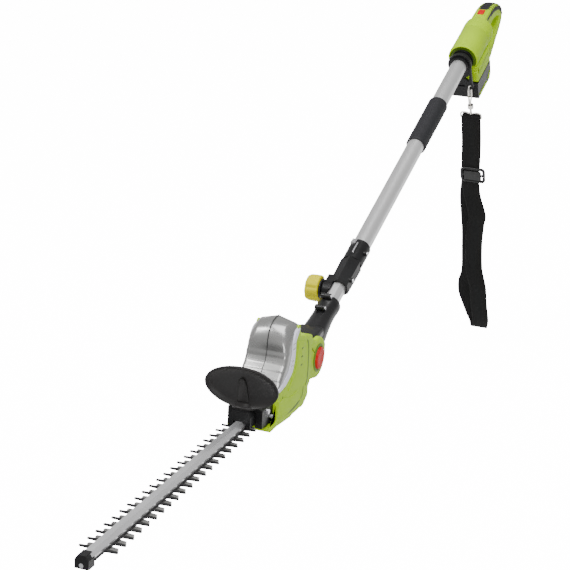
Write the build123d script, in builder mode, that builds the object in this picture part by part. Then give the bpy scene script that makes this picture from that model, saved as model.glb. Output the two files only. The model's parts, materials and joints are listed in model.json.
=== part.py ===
"""Cordless telescopic hedge trimmer: cutter head, tilting neck, two-tube pole, battery handle and strap.

The pole lies along X with the cutter head forward (+X), Z is up, and +Y is the operator's left.
The origin is on the pole's axis at the middle of the foam grip.
"""

import os
from math import cos, pi, radians, sin

from build123d import *

os.makedirs("parts", exist_ok=True)

# ---- driving dimensions, millimetres ----
tilt = 22.7  # the blade rises this much above the pole, degrees
pivot_x = 664
pivot_z = 8

# pole
tube_r = 15.25
tube_wall = 1.5
tube_rear = -300
tube_front = 418
inner_flats = 23.5
inner_rear = -110
inner_front = 560
grip_half = 68.5
grip_r = 18.25
fit_gap = 0.05
octagon_turn = 22.5

# clamp
clamp_rear = 375
clamp_mid = 422
clamp_front = 486
clamp_r = 17.6
clamp_flats = 33
knob_x = 494
knob_r = 22
knob_base_y = -24
knob_depth = 26

# cutter levels above the tilt pivot, across the blade
rail_half = 9
rail_top = -26
comb_half = 10.5
plate_base = -20
rail_bottom = -34.5
comb_bottom = -36.5
upper_top = -36.6
blade_thick = 2.2
lower_top = upper_top - blade_thick - 0.1
lower_bottom = lower_top - blade_thick
screw_bottom = -45.5

# cutter plan
tooth_pitch = 22
tooth_count = 21
last_tooth = 682.3
comb_reach = 26.5
cutter_reach = 20.5
stroke = 7.5
rail_rear = 160
rail_front = 716
screw_pitch = 100
screw_count = 5
first_screw = 258

# drive
crank_u = 127
motor_u = 99.7
gear_teeth = 28
pinion_teeth = 8
tooth_module = 1.5
eccentric_r = 13
axle_r = 2.5
shaft_r = 2.5

# cutter head
head_half = 34
wall = 3
cheek_in = 22.5
cheek_out = 30
boss_r = 33
eye_r = 26
eye_half = 20
swing_r = 41
rail_mouth = 13.5

# rear housing
body_r = 29
body_front = -231
body_rear = -346
bay_half = 30
handle_half = 15
battery_front = -226
battery_rear = -313
battery_top = -50
battery_bottom = -84
collar_r = 21

# strap
eye_y = 18
eye_z = -45
webbing_width = 34
webbing_thick = 2.4
leg_gap = 9
strap_bottom = -640
buckle_z = -249
buckle_height = 32

rise = radians(tilt)
forward = (cos(rise), 0, sin(rise))
upward = (-sin(rise), 0, cos(rise))


def head_point(u, y, w):
    """World place of a point u ahead of the pivot, y to the left and w above it, in the head's own axes."""
    x = pivot_x + u * forward[0] + w * upward[0]
    z = pivot_z + u * forward[2] + w * upward[2]
    return (x, y, z)


def head_side(y):
    """Plane of the head's side profile: x along the blade, y up, facing the operator's right."""
    return Plane(origin=head_point(0, y, 0), x_dir=forward, z_dir=(0, -1, 0))


def head_level(w, u=0, y=0):
    """Plane parallel to the blade: x along the blade, y to the left, facing up."""
    return Plane(origin=head_point(u, y, w), x_dir=forward, z_dir=upward)


def head_front(u, y=0, w=0):
    """Plane across the blade: x to the left, y up, facing forward."""
    return Plane(origin=head_point(u, y, w), x_dir=(0, 1, 0), z_dir=forward)


def side(y):
    """Plane of the pole's side profile: x forward, y up, facing the operator's right."""
    return Plane.XZ.offset(-y)


def save(part, label):
    part.label = label
    export_step(part, "parts/" + label + ".step")


# ---- outer tube, foam grip and sleeve ----
with BuildPart() as outer_tube:
    with BuildSketch(Plane.YZ.offset(tube_rear)):
        Circle(tube_r)
        Circle(tube_r - tube_wall, mode=Mode.SUBTRACT)
    extrude(amount=tube_front - tube_rear)
save(outer_tube.part, "outer_tube")

with BuildPart() as foam_grip:
    with BuildSketch(Plane.YZ.offset(-grip_half)):
        Circle(grip_r)
    extrude(amount=2 * grip_half)
    fillet(foam_grip.edges().filter_by(GeomType.CIRCLE), radius=1.6)
    with BuildSketch(Plane.YZ.offset(-grip_half)):
        Circle(tube_r + fit_gap)
    extrude(amount=2 * grip_half, mode=Mode.SUBTRACT)
save(foam_grip.part, "foam_grip")

sleeve_length = 30
with BuildPart() as tube_sleeve:
    with BuildSketch(Plane.YZ.offset(tube_front - sleeve_length)):
        Circle(tube_r - tube_wall - fit_gap)
    extrude(amount=sleeve_length)
    with BuildSketch(Plane.YZ.offset(tube_front)):
        Circle(tube_r)
    extrude(amount=3)
    with BuildSketch(Plane.YZ.offset(tube_front - sleeve_length)):
        RegularPolygon(inner_flats / 2 + 0.15, 8, major_radius=False, rotation=octagon_turn)
    extrude(amount=sleeve_length + 3, mode=Mode.SUBTRACT)
save(tube_sleeve.part, "tube_sleeve")


# ---- telescoping clamp: two black shells, jaw, clip, screws and the yellow knob on its stud ----
knob_stud_r = 4
with BuildPart() as clamp_whole:
    with BuildSketch(Plane.YZ.offset(clamp_rear)):
        Circle(clamp_r)
    extrude(amount=clamp_mid - clamp_rear)
    with BuildSketch(Plane.YZ.offset(clamp_mid)):
        RegularPolygon(clamp_flats / 2, 6, major_radius=False, rotation=30)
    with BuildSketch(Plane.YZ.offset(clamp_front)):
        RegularPolygon(clamp_flats / 2 - 1, 6, major_radius=False, rotation=30)
    loft()
    # lug that carries the knob's stud
    with BuildSketch(side(-8)):
        with Locations((knob_x, 0)):
            Circle(13)
        with Locations((knob_x - 16, 0)):
            Rectangle(20, 24)
    extrude(amount=14)
    # stud bore through the lug
    with BuildSketch(side(0)):
        with Locations((knob_x, 0)):
            Circle(knob_stud_r + fit_gap)
    extrude(amount=30, mode=Mode.SUBTRACT)
    # screw bosses on the left flank
    with BuildSketch(side(19.5)):
        with Locations((clamp_rear + 22, 7), (clamp_front - 16, 7)):
            Circle(4)
    extrude(amount=7)
    with BuildSketch(Plane.YZ.offset(clamp_rear)):
        Circle(tube_r + fit_gap)
    extrude(amount=tube_front + 3.1 - clamp_rear, mode=Mode.SUBTRACT)
    with BuildSketch(Plane.YZ.offset(tube_front)):
        Circle(13.6)
    extrude(amount=clamp_front + 30 - tube_front, mode=Mode.SUBTRACT)
    # screw holes
    with BuildSketch(side(20)):
        with Locations((clamp_rear + 22, 7), (clamp_front - 16, 7)):
            Circle(1.6)
    extrude(amount=4, mode=Mode.SUBTRACT)

with BuildPart() as clamp_lower:
    add(clamp_whole.part)
    split(bisect_by=Plane.XY, keep=Keep.BOTTOM)
save(clamp_lower.part, "clamp_shell_lower")

with BuildPart() as clamp_upper:
    add(clamp_whole.part)
    split(bisect_by=Plane.XY, keep=Keep.TOP)
save(clamp_upper.part, "clamp_shell_upper")

with BuildPart() as clamp_screws:
    with BuildSketch(side(20)):
        with Locations((clamp_rear + 22, 7), (clamp_front - 16, 7)):
            Circle(1.55)
    extrude(amount=3.8)
    with BuildSketch(side(21)):
        with Locations((clamp_rear + 22, 7), (clamp_front - 16, 7)):
            Circle(3.2)
    extrude(amount=1.5)
save(clamp_screws.part, "clamp_screws")

with BuildPart() as clamp_clip:
    with BuildSketch(side(-3)):
        with Locations((clamp_rear + 9, clamp_r + 1.2)):
            Rectangle(13, 2.2)
        with Locations((clamp_rear + 13, clamp_r + 2.8)):
            Rectangle(5, 2)
    extrude(amount=8)
save(clamp_clip.part, "clamp_clip")

with BuildPart() as clamp_knob:
    with BuildSketch(side(knob_base_y)):
        with Locations((knob_x, 0)):
            Circle(knob_r - 5)
    extrude(amount=3)
    with BuildSketch(side(knob_base_y - 3)):
        with Locations((knob_x, 0)):
            RegularPolygon(knob_r, 9)
    extrude(amount=knob_depth - 3)
    fillet(clamp_knob.faces().sort_by(Axis.Y)[0].edges(), radius=2)
    with BuildSketch(side(knob_base_y)):
        with Locations((knob_x, 0)):
            Circle(knob_stud_r)
    extrude(amount=12, mode=Mode.SUBTRACT)
save(clamp_knob.part, "clamp_knob")

with BuildPart() as knob_stud:
    with BuildSketch(side(-14.4)):
        with Locations((knob_x, 0)):
            Circle(knob_stud_r)
    extrude(amount=12 - 14.4 - knob_base_y)
save(knob_stud.part, "knob_stud")


# ---- inner pole: octagonal tube and neck ----
with BuildPart() as inner_tube:
    with BuildSketch(Plane.YZ.offset(inner_rear)):
        RegularPolygon(inner_flats / 2, 8, major_radius=False, rotation=octagon_turn)
        RegularPolygon(inner_flats / 2 - 1.4, 8, major_radius=False, rotation=octagon_turn, mode=Mode.SUBTRACT)
    extrude(amount=inner_front - inner_rear)
save(inner_tube.part, "inner_tube")

neck_rear = 527
neck_mid = 560
neck_base = 634
pin_r = 6
barrel_r = 4.4
screw_r = 1.6
neck_barrels = [(neck_rear + 7, 21.5), (neck_rear + 36, 21), (neck_rear + 72, -24)]
with BuildPart() as neck_whole:
    with BuildSketch(Plane.YZ.offset(neck_rear)):
        Circle(18.3)
    with BuildSketch(Plane.YZ.offset(neck_mid)):
        Circle(17.2)
    loft()
    with BuildSketch(Plane.YZ.offset(neck_mid)):
        Circle(17.2)
    with BuildSketch(Plane.YZ.offset(neck_base - 24)):
        Circle(20.5)
    loft()
    with BuildSketch(side(eye_half)):
        with BuildLine():
            Polyline(
                (neck_base - 26, -19),
                (neck_base - 26, 19),
                (pivot_x - 12, pivot_z + 23),
                (pivot_x, pivot_z),
                (pivot_x - 12, pivot_z - 23),
                close=True,
            )
        make_face()
        with Locations((pivot_x, pivot_z)):
            Circle(eye_r)
    extrude(amount=2 * eye_half)
    # hollow of the neck behind the eye
    with BuildSketch(Plane.YZ.offset(inner_front)):
        Circle(12)
    extrude(amount=56, mode=Mode.SUBTRACT)
    # bore for the pivot pin and the lock's stem
    with BuildSketch(side(eye_half)):
        with Locations((pivot_x, pivot_z)):
            Circle(pin_r + fit_gap)
    extrude(amount=2 * eye_half, mode=Mode.SUBTRACT)
    # screw barrels lying across the top and one under the left flank
    with BuildSketch(side(6)):
        with Locations(*neck_barrels):
            Circle(barrel_r)
    extrude(amount=16)
    # socket for the octagonal tube
    with BuildSketch(Plane.YZ.offset(neck_rear)):
        RegularPolygon(inner_flats / 2 + fit_gap, 8, major_radius=False, rotation=octagon_turn)
    extrude(amount=inner_front - neck_rear, mode=Mode.SUBTRACT)
    with BuildSketch(side(6)):
        with Locations(*neck_barrels):
            Circle(screw_r)
    extrude(amount=14, mode=Mode.SUBTRACT)

with BuildPart() as neck_left:
    add(neck_whole.part)
    split(bisect_by=Plane.XZ, keep=Keep.BOTTOM)
save(neck_left.part, "neck_shell_left")

with BuildPart() as neck_right:
    add(neck_whole.part)
    split(bisect_by=Plane.XZ, keep=Keep.TOP)
save(neck_right.part, "neck_shell_right")

with BuildPart() as neck_screws:
    with BuildSketch(side(6)):
        with Locations(*neck_barrels):
            Circle(screw_r - fit_gap)
    extrude(amount=14)
    with BuildSketch(side(7.6)):
        with Locations(*neck_barrels):
            Circle(3)
    extrude(amount=1.6)
save(neck_screws.part, "neck_screws")


# ---- cutter head: two green shells on either side of the middle plane ----
belly = [
    (206, -50),
    (206, -43.5),
    (178, -43.5),
    (178, 0),
    (150, 3),
    (123, 16),
    (114, 38),
    (114, 68),
    (103, 84),
    (96, 84),
    (92, 64),
    (64, 58),
    (38, 50),
    (42, -26),
    (50, -30),
    (47, -42),
    (60, -57),
    (90, -60),
    (143, -56),
]
with BuildPart() as head_whole:
    with BuildSketch(head_side(head_half)):
        with BuildLine():
            Polyline(*belly, close=True)
        make_face()
    extrude(amount=2 * head_half)
    with BuildSketch(head_side(head_half - wall)):
        with BuildLine():
            Polyline(*belly, close=True)
        make_face()
        offset(amount=-wall, mode=Mode.REPLACE)
    extrude(amount=2 * (head_half - wall), mode=Mode.SUBTRACT)
    # cheeks either side of the neck's eye
    with BuildSketch(head_side(cheek_out)):
        Circle(boss_r)
        with BuildLine():
            Polyline((2, boss_r - 0.1), (64, 55), (44, -26), (2, 0.1 - boss_r), close=True)
        make_face()
    extrude(amount=2 * cheek_out)
    with BuildSketch(head_side(cheek_in)):
        Circle(swing_r)
    extrude(amount=2 * cheek_in, mode=Mode.SUBTRACT)
    with BuildSketch(head_side(cheek_in)):
        with Locations((20, 0)):
            Rectangle(44, 110)
    extrude(amount=2 * cheek_in, mode=Mode.SUBTRACT)
    # hollow of the top over the motor
    with BuildSketch(head_side(head_half - wall)):
        with BuildLine():
            Polyline((90, 10), (123, 16), (114, 38), (114, 68), (103, 84), (99, 80), (95, 40), close=True)
        make_face()
    extrude(amount=2 * (head_half - wall), mode=Mode.SUBTRACT)
    with BuildSketch(head_side(head_half - wall)):
        with BuildLine():
            Polyline((110, -8), (123, 16), (150, 3), (175, 0), (175, -12), close=True)
        make_face()
    extrude(amount=2 * (head_half - wall), mode=Mode.SUBTRACT)
    # mouth for the rail and the blades
    with BuildSketch(head_front(170, 0, (rail_top - 43.5) / 2 + 0.4)):
        Rectangle(2 * rail_mouth, rail_top + 43.5 + 1)
    extrude(amount=12, mode=Mode.SUBTRACT)
    # bores of the cheeks
    with BuildSketch(head_side(0)):
        Circle(pin_r)
    extrude(amount=40, mode=Mode.SUBTRACT)
    with BuildSketch(head_side(cheek_out)):
        Circle(pin_r + 0.4)
    extrude(amount=cheek_out, mode=Mode.SUBTRACT)
    with BuildSketch(head_side(cheek_out)):
        Circle(17.8)
    extrude(amount=4, mode=Mode.SUBTRACT)
    # three vent slots behind the hood on each flank
    with BuildSketch(head_side(head_half + 1)):
        with Locations((84, 40), (85, 30), (86, 20)):
            SlotOverall(7, 2.4)
    extrude(amount=2 * head_half + 2, mode=Mode.SUBTRACT)

with BuildPart() as head_left:
    add(head_whole.part)
    split(bisect_by=Plane.XZ, keep=Keep.BOTTOM)
save(head_left.part, "head_shell_left")

with BuildPart() as head_right:
    add(head_whole.part)
    split(bisect_by=Plane.XZ, keep=Keep.TOP)
save(head_right.part, "head_shell_right")

# ---- silver hood over the motor, with its pale rim ----
hood_front = [
    (178, 0),
    (182, 5),
    (168, 18),
    (156, 30),
    (146, 40),
    (143.5, 50),
    (141, 67),
    (134, 84),
    (118, 93),
    (98, 94.5),
]
hood_back = [(96, 84), (103, 84), (114, 68), (114, 38), (123, 16), (150, 3)]
with BuildPart() as motor_hood:
    with BuildSketch(head_side(head_half)):
        with BuildLine():
            Polyline(*hood_front, *hood_back, close=True)
        make_face()
    extrude(amount=2 * head_half)
    with BuildSketch(head_side(head_half - 2.5)):
        with BuildLine():
            Polyline(
                (174, 0),
                (163, 17),
                (152, 28),
                (143, 39),
                (140.5, 50),
                (138, 66),
                (131.5, 81),
                (117, 90),
                (100, 91.5),
                (99, 84),
                (103, 84),
                (114, 68),
                (114, 38),
                (123, 16),
                (150, 3),
                close=True,
            )
        make_face()
    extrude(amount=2 * head_half - 5, mode=Mode.SUBTRACT)
save(motor_hood.part, "motor_hood")

rim_path = [(103, 84.6), (114.6, 68.3), (114.6, 38.2), (123.4, 16.5), (150.2, 3.6), (176, 0.6)]
with BuildPart() as hood_rims:
    for rim_y in (head_half + 1.2, -head_half):
        with BuildSketch(head_side(rim_y)):
            with BuildLine():
                Polyline(*rim_path, (178, 7), (156, 13), (132, 25), (122.6, 40), (122.6, 71), (108, 92), close=True)
            make_face()
        extrude(amount=1.2)
save(hood_rims.part, "hood_rims")

# ---- motor, gearbox plates, axle ----
plate_top = plate_base + 4
with BuildPart() as gearbox_plate:
    with BuildSketch(head_level(plate_base, 121)):
        Rectangle(104, 2 * (head_half - wall))
        with Locations((motor_u - 121, 0)):
            Circle(shaft_r + fit_gap, mode=Mode.SUBTRACT)
        with Locations((crank_u - 121, 0)):
            Circle(axle_r, mode=Mode.SUBTRACT)
    extrude(amount=4)
save(gearbox_plate.part, "gearbox_plate")

with BuildPart() as bottom_plate:
    with BuildSketch(head_level(-50, 121)):
        Rectangle(70, 2 * (head_half - wall))
        with Locations((crank_u - 121, 0)):
            Circle(axle_r, mode=Mode.SUBTRACT)
    extrude(amount=3)
save(bottom_plate.part, "bottom_plate")

with BuildPart() as gear_axle:
    with BuildSketch(head_level(-52, crank_u)):
        Circle(axle_r)
    extrude(amount=plate_top + 52)
save(gear_axle.part, "gear_axle")

motor_r = 20
with BuildPart() as motor_can:
    with BuildSketch(head_level(plate_top, motor_u)):
        Circle(motor_r)
    extrude(amount=58)
    with BuildSketch(head_level(plate_top + 3, motor_u)):
        Circle(motor_r - 2.5)
    extrude(amount=52, mode=Mode.SUBTRACT)
    with BuildSketch(head_level(plate_top, motor_u)):
        Circle(shaft_r + fit_gap)
    extrude(amount=58, mode=Mode.SUBTRACT)
save(motor_can.part, "motor_can")


def gear_outline(teeth, mean_r, turn):
    """Add one toothed disc to the open sketch: a root disc and straight-flanked teeth."""
    Circle(mean_r - 1.25 * tooth_module)
    pitch = 2 * pi * mean_r / teeth
    with PolarLocations(0, teeth, start_angle=turn):
        Polygon(
            (mean_r - 1.6 * tooth_module, -0.3 * pitch),
            (mean_r, -0.2 * pitch),
            (mean_r + 0.8 * tooth_module, -0.1 * pitch),
            (mean_r + 0.8 * tooth_module, 0.1 * pitch),
            (mean_r, 0.2 * pitch),
            (mean_r - 1.6 * tooth_module, 0.3 * pitch),
            align=None,
        )


gear_bottom = -34
with BuildPart() as crank_gear:
    with BuildSketch(head_level(gear_bottom, crank_u)):
        gear_outline(gear_teeth, gear_teeth * tooth_module / 2, 0)
    extrude(amount=10)
    with BuildSketch(head_level(upper_top, crank_u)):
        Circle(8)
    extrude(amount=gear_bottom - upper_top)
    with BuildSketch(head_level(lower_top + 0.1, crank_u, stroke)):
        Circle(eccentric_r)
    extrude(amount=blade_thick)
    with BuildSketch(head_level(lower_bottom, crank_u, -stroke)):
        Circle(eccentric_r)
    extrude(amount=blade_thick + 0.1)
    with BuildSketch(head_level(-46.8, crank_u)):
        Circle(5)
    extrude(amount=46.8 + lower_bottom)
    with BuildSketch(head_level(-46.8, crank_u)):
        Circle(axle_r + fit_gap)
    extrude(amount=40, mode=Mode.SUBTRACT)
save(crank_gear.part, "crank_gear")

with BuildPart() as motor_rotor:
    with BuildSketch(head_level(gear_bottom, motor_u)):
        Circle(shaft_r)
    extrude(amount=74)
    with BuildSketch(head_level(gear_bottom + 0.5, motor_u)):
        gear_outline(pinion_teeth, pinion_teeth * tooth_module / 2, 180 / pinion_teeth)
    extrude(amount=9)
    with BuildSketch(head_level(plate_top + 8, motor_u)):
        Circle(motor_r - 4)
    extrude(amount=42)
save(motor_rotor.part, "motor_rotor")


# ---- blade rail, guard comb, the two cutter blades, cap and screws ----
with BuildPart() as blade_rail:
    with BuildSketch(head_front(rail_rear)):
        with BuildLine():
            Polyline(
                (-rail_half, rail_bottom),
                (-rail_half, rail_top - 5),
                (-rail_half + 4.5, rail_top),
                (rail_half - 4.5, rail_top),
                (rail_half, rail_top - 5),
                (rail_half, rail_bottom),
                close=True,
            )
        make_face()
        with Locations((0, rail_bottom + 4.6)):
            Rectangle(2 * rail_half - 8, 3.5, mode=Mode.SUBTRACT)
    extrude(amount=rail_front - rail_rear)
    with BuildSketch(head_level(rail_bottom)):
        with Locations(*[(first_screw + i * screw_pitch, 0) for i in range(screw_count)]):
            Circle(2.5)
    extrude(amount=4.5, mode=Mode.SUBTRACT)
save(blade_rail.part, "blade_rail")

cap_u = rail_front - 5.5
tooth_places = [last_tooth - i * tooth_pitch for i in range(tooth_count)]
with BuildPart() as guard_comb:
    with BuildSketch(head_level(comb_bottom)):
        with Locations(((rail_rear + cap_u) / 2 - 0.1, 0)):
            Rectangle(cap_u - 0.2 - rail_rear, 2 * comb_half)
        for tooth_u in tooth_places:
            for flip in (1, -1):
                Polygon(
                    (tooth_u - 3, 7 * flip),
                    (tooth_u - 1.7, (comb_reach - 1) * flip),
                    (tooth_u - 0.9, comb_reach * flip),
                    (tooth_u + 0.9, comb_reach * flip),
                    (tooth_u + 1.7, (comb_reach - 1) * flip),
                    (tooth_u + 3, 7 * flip),
                    align=None,
                )
        with Locations(*[(first_screw + i * screw_pitch, 0) for i in range(screw_count)]):
            Circle(2.5, mode=Mode.SUBTRACT)
    extrude(amount=rail_bottom - comb_bottom)
save(guard_comb.part, "guard_comb")


def cutter_blade(bottom):
    """One reciprocating blade: yoke round its eccentric, slotted strip and wedge teeth."""
    with BuildPart() as blade:
        with BuildSketch(head_level(bottom)):
            with Locations((crank_u, 0)):
                RectangleRounded(40, 52, 4)
            with Locations((crank_u + 38, 0)):
                Rectangle(50, 15)
            with Locations(((rail_rear + last_tooth - 7) / 2, 0)):
                Rectangle(last_tooth - 7 - rail_rear, 15)
            for tooth_u in tooth_places:
                for flip in (1, -1):
                    Polygon(
                        (tooth_u - 16, 7 * flip),
                        (tooth_u - 14, cutter_reach * flip),
                        (tooth_u - 9, cutter_reach * flip),
                        (tooth_u - 6, 7 * flip),
                        align=None,
                    )
            with Locations((crank_u, 0)):
                RectangleRounded(30, 42, 3, mode=Mode.SUBTRACT)
            with Locations(*[(first_screw + i * screw_pitch, 0) for i in range(screw_count)]):
                SlotOverall(2 * stroke + 6, 5.6, mode=Mode.SUBTRACT)
        extrude(amount=blade_thick)
    return blade.part


save(cutter_blade(lower_top + 0.1), "upper_blade")
save(cutter_blade(lower_bottom), "lower_blade")

with BuildPart() as rail_screws:
    for i in range(screw_count):
        with BuildSketch(head_level(screw_bottom + 2.5, first_screw + i * screw_pitch)):
            Circle(2.5)
        extrude(amount=rail_bottom + 4.3 - screw_bottom - 2.5)
        with BuildSketch(head_level(screw_bottom, first_screw + i * screw_pitch)):
            Circle(5.5)
        extrude(amount=lower_bottom - 0.2 - screw_bottom)
save(rail_screws.part, "rail_screws")

cap_bottom = -43
with BuildPart() as end_cap:
    with BuildSketch(head_front(cap_u)):
        with BuildLine():
            Polyline(
                (-rail_half - 0.6, cap_bottom),
                (-rail_half - 0.6, rail_top - 5),
                (-rail_half + 3.5, rail_top + 1),
                (rail_half - 3.5, rail_top + 1),
                (rail_half + 0.6, rail_top - 5),
                (rail_half + 0.6, cap_bottom),
                close=True,
            )
        make_face()
    extrude(amount=16)
    with BuildSketch(head_front(cap_u)):
        with Locations((0, (rail_top + rail_bottom) / 2)):
            Rectangle(2 * rail_half + 0.1, rail_top - rail_bottom + 0.1)
    extrude(amount=rail_front - cap_u + 0.1, mode=Mode.SUBTRACT)
    with BuildSketch(head_front(cap_u + 12, 0, cap_bottom + 5)):
        Circle(2)
    extrude(amount=6, mode=Mode.SUBTRACT)
save(end_cap.part, "end_cap")

with BuildPart() as cap_rivet:
    with BuildSketch(head_front(cap_u + 12, 0, cap_bottom + 5)):
        Circle(2)
    extrude(amount=4)
    with BuildSketch(head_front(cap_u + 16, 0, cap_bottom + 5)):
        Circle(3)
    extrude(amount=1)
save(cap_rivet.part, "cap_rivet")


# ---- hand guard and the bracket that clasps the rail's root ----
guard_u = 230
guard_w = 27
guard_lean = 12
guard_half_width = 57
guard_half_height = 34
guard_plane = Plane(
    origin=head_point(guard_u, 0, guard_w),
    x_dir=(0, 1, 0),
    z_dir=(cos(rise - radians(guard_lean)), 0, sin(rise - radians(guard_lean))),
)
bracket_top = -10
with BuildPart() as hand_guard:
    with BuildSketch(guard_plane):
        Ellipse(guard_half_width, guard_half_height)
    extrude(amount=3)
    with BuildSketch(guard_plane):
        Ellipse(guard_half_width, guard_half_height)
        Ellipse(guard_half_width - 5, guard_half_height - 5, mode=Mode.SUBTRACT)
    extrude(amount=9)
    with BuildSketch(guard_plane):
        with Locations((0, -6)):
            Rectangle(9, 50)
    extrude(amount=6)
    with BuildSketch(head_level(bracket_top, guard_u - 6)):
        Ellipse(11, 17)
    extrude(amount=9)
save(hand_guard.part, "hand_guard")

bracket_rear = 178.5
bracket_front = 242
with BuildPart() as guard_bracket:
    with BuildSketch(head_front(bracket_rear)):
        with BuildLine():
            Polyline(
                (-27, -41),
                (-27, -14),
                (-20, bracket_top),
                (20, bracket_top),
                (27, -14),
                (27, -41),
                close=True,
            )
        make_face()
        with BuildLine():
            Polyline(
                (-rail_half - 0.1, rail_bottom),
                (-rail_half - 0.1, rail_top),
                (rail_half + 0.1, rail_top),
                (rail_half + 0.1, rail_bottom),
                close=True,
            )
        make_face(mode=Mode.SUBTRACT)
        with Locations((0, (rail_bottom - 41) / 2)):
            Rectangle(33, 41.1 + rail_bottom, mode=Mode.SUBTRACT)
    extrude(amount=bracket_front - bracket_rear - 22)
    with BuildSketch(head_front(bracket_front - 22)):
        with BuildLine():
            Polyline(
                (-17, rail_bottom),
                (-17, -19),
                (-11, bracket_top),
                (11, bracket_top),
                (17, -19),
                (17, rail_bottom),
                close=True,
            )
        make_face()
        with BuildLine():
            Polyline(
                (-rail_half - 0.1, rail_bottom),
                (-rail_half - 0.1, rail_top),
                (rail_half + 0.1, rail_top),
                (rail_half + 0.1, rail_bottom),
                close=True,
            )
        make_face(mode=Mode.SUBTRACT)
    extrude(amount=22)
save(guard_bracket.part, "guard_bracket")

guard_screw_places = [(bracket_rear + 6.5, -33), (bracket_rear + 25, -18.5)]
with BuildPart() as guard_screws:
    for screw_y in (31, -27):
        with BuildSketch(head_side(screw_y)):
            with Locations(*guard_screw_places):
                Circle(3.6)
        extrude(amount=4)
save(guard_screws.part, "guard_screws")

# ---- tilt pivot: fixed pin from the right, red lock button from the left ----
with BuildPart() as pivot_pin:
    with BuildSketch(head_side(-1)):
        Circle(pin_r)
    extrude(amount=cheek_out)
    with BuildSketch(head_side(-cheek_out)):
        Circle(11)
    extrude(amount=4)
save(pivot_pin.part, "pivot_pin")

button_travel = 3
with BuildPart() as tilt_button:
    with BuildSketch(head_side(35)):
        Circle(17.3)
    extrude(amount=35 - cheek_out + 4 - button_travel - 0.2)
    fillet(tilt_button.edges().sort_by(Axis.Y)[-1], radius=1.5)
    with BuildSketch(head_side(30)):
        Circle(pin_r)
    extrude(amount=30 - button_travel - 0.5)
save(tilt_button.part, "tilt_button")

with BuildPart() as head_screws:
    for screw_u, screw_w in ((196, -47), (60, 40), (66, -50)):
        with BuildSketch(head_side(-head_half)):
            with Locations((screw_u, screw_w)):
                Circle(3)
        extrude(amount=1.4)
save(head_screws.part, "head_screws")


# ---- rear housing: green shells with the D-handle and the battery bay ----
handle_outer = [
    (-344, 26),
    (-382, 25),
    (-420, 15),
    (-446, 0),
    (-460, -16),
    (-458, -36),
    (-436, -50),
    (-364, -78),
    (-348, -77),
    (-316, -48),
    (-316, -20),
]
handle_hole = [(-352, -4), (-400, -6), (-428, -14), (-437, -24), (-430, -33), (-372, -55), (-352, -50)]
trigger_pin = (-404, 2)
rubber_line = [(-352, 50), (-352, 8), (-395, 4), (-430, -8), (-447, -28), (-480, -28), (-480, 50)]
with BuildPart() as rear_whole:
    with BuildSketch(Plane.YZ.offset(body_rear)):
        Circle(body_r)
    extrude(amount=body_front - body_rear)
    with BuildSketch(side(handle_half)):
        Polygon(*handle_outer, align=None)
    extrude(amount=2 * handle_half)
    # battery bay under the barrel
    with BuildSketch(side(bay_half)):
        Polygon((-231, -12), (-231, -25), (-228, -25), (-228, -48), (-314, -48), (-314, -12), align=None)
    extrude(amount=2 * bay_half)
    with BuildSketch(side(bay_half - wall)):
        Polygon((-231, -10), (-231, -45), (-311, -45), (-311, -10), align=None)
    extrude(amount=2 * (bay_half - wall), mode=Mode.SUBTRACT)
    with BuildSketch(Plane.YZ.offset(body_rear + wall)):
        Circle(body_r - wall)
    extrude(amount=body_front - body_rear - wall, mode=Mode.SUBTRACT)
    with BuildSketch(side(handle_half)):
        Polygon(*handle_hole, align=None)
    extrude(amount=2 * handle_half, mode=Mode.SUBTRACT)
    # seat of the rubber grip
    with BuildSketch(side(handle_half)):
        Polygon(*rubber_line, align=None)
    extrude(amount=2 * handle_half, mode=Mode.SUBTRACT)
    # slot of the trigger and the safety button
    with BuildSketch(side(4.4)):
        Polygon((-354, -20), (-354, 14), (-412, 14), (-412, -20), align=None)
    extrude(amount=8.8, mode=Mode.SUBTRACT)
    with BuildSketch(side(handle_half)):
        with Locations(trigger_pin):
            Circle(1.5)
    extrude(amount=2 * handle_half, mode=Mode.SUBTRACT)
    # bay mouth for the battery's tongue
    with BuildSketch(Plane.XY.offset(-48)):
        with Locations((-270, 0)):
            Rectangle(70, 36)
    extrude(amount=4, mode=Mode.SUBTRACT)

with BuildPart() as rear_left:
    add(rear_whole.part)
    split(bisect_by=Plane.XZ, keep=Keep.BOTTOM)
save(rear_left.part, "rear_shell_left")

with BuildPart() as rear_right:
    add(rear_whole.part)
    split(bisect_by=Plane.XZ, keep=Keep.TOP)
save(rear_right.part, "rear_shell_right")

with BuildPart() as front_ring:
    with BuildSketch(Plane.YZ.offset(body_front - 7)):
        Circle(body_r - wall)
        Circle(collar_r - 2, mode=Mode.SUBTRACT)
    extrude(amount=4)
save(front_ring.part, "front_ring")

with BuildPart() as tube_seat:
    for seat_x in (tube_rear - 6, body_front - 30):
        with BuildSketch(Plane.YZ.offset(seat_x)):
            Circle(body_r - wall)
            Circle(tube_r + fit_gap, mode=Mode.SUBTRACT)
        extrude(amount=10)
save(tube_seat.part, "tube_seat")

collar_front = -203
with BuildPart() as rear_collar:
    with BuildSketch(Plane.YZ.offset(body_front - 3)):
        Circle(collar_r - 2)
        Circle(tube_r + fit_gap, mode=Mode.SUBTRACT)
    extrude(amount=collar_front - body_front + 3)
    for rib in range(2):
        with BuildSketch(Plane.YZ.offset(body_front + 1 + 9 * rib)):
            Circle(collar_r)
            Circle(collar_r - 3, mode=Mode.SUBTRACT)
        extrude(amount=5)
save(rear_collar.part, "rear_collar")

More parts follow.
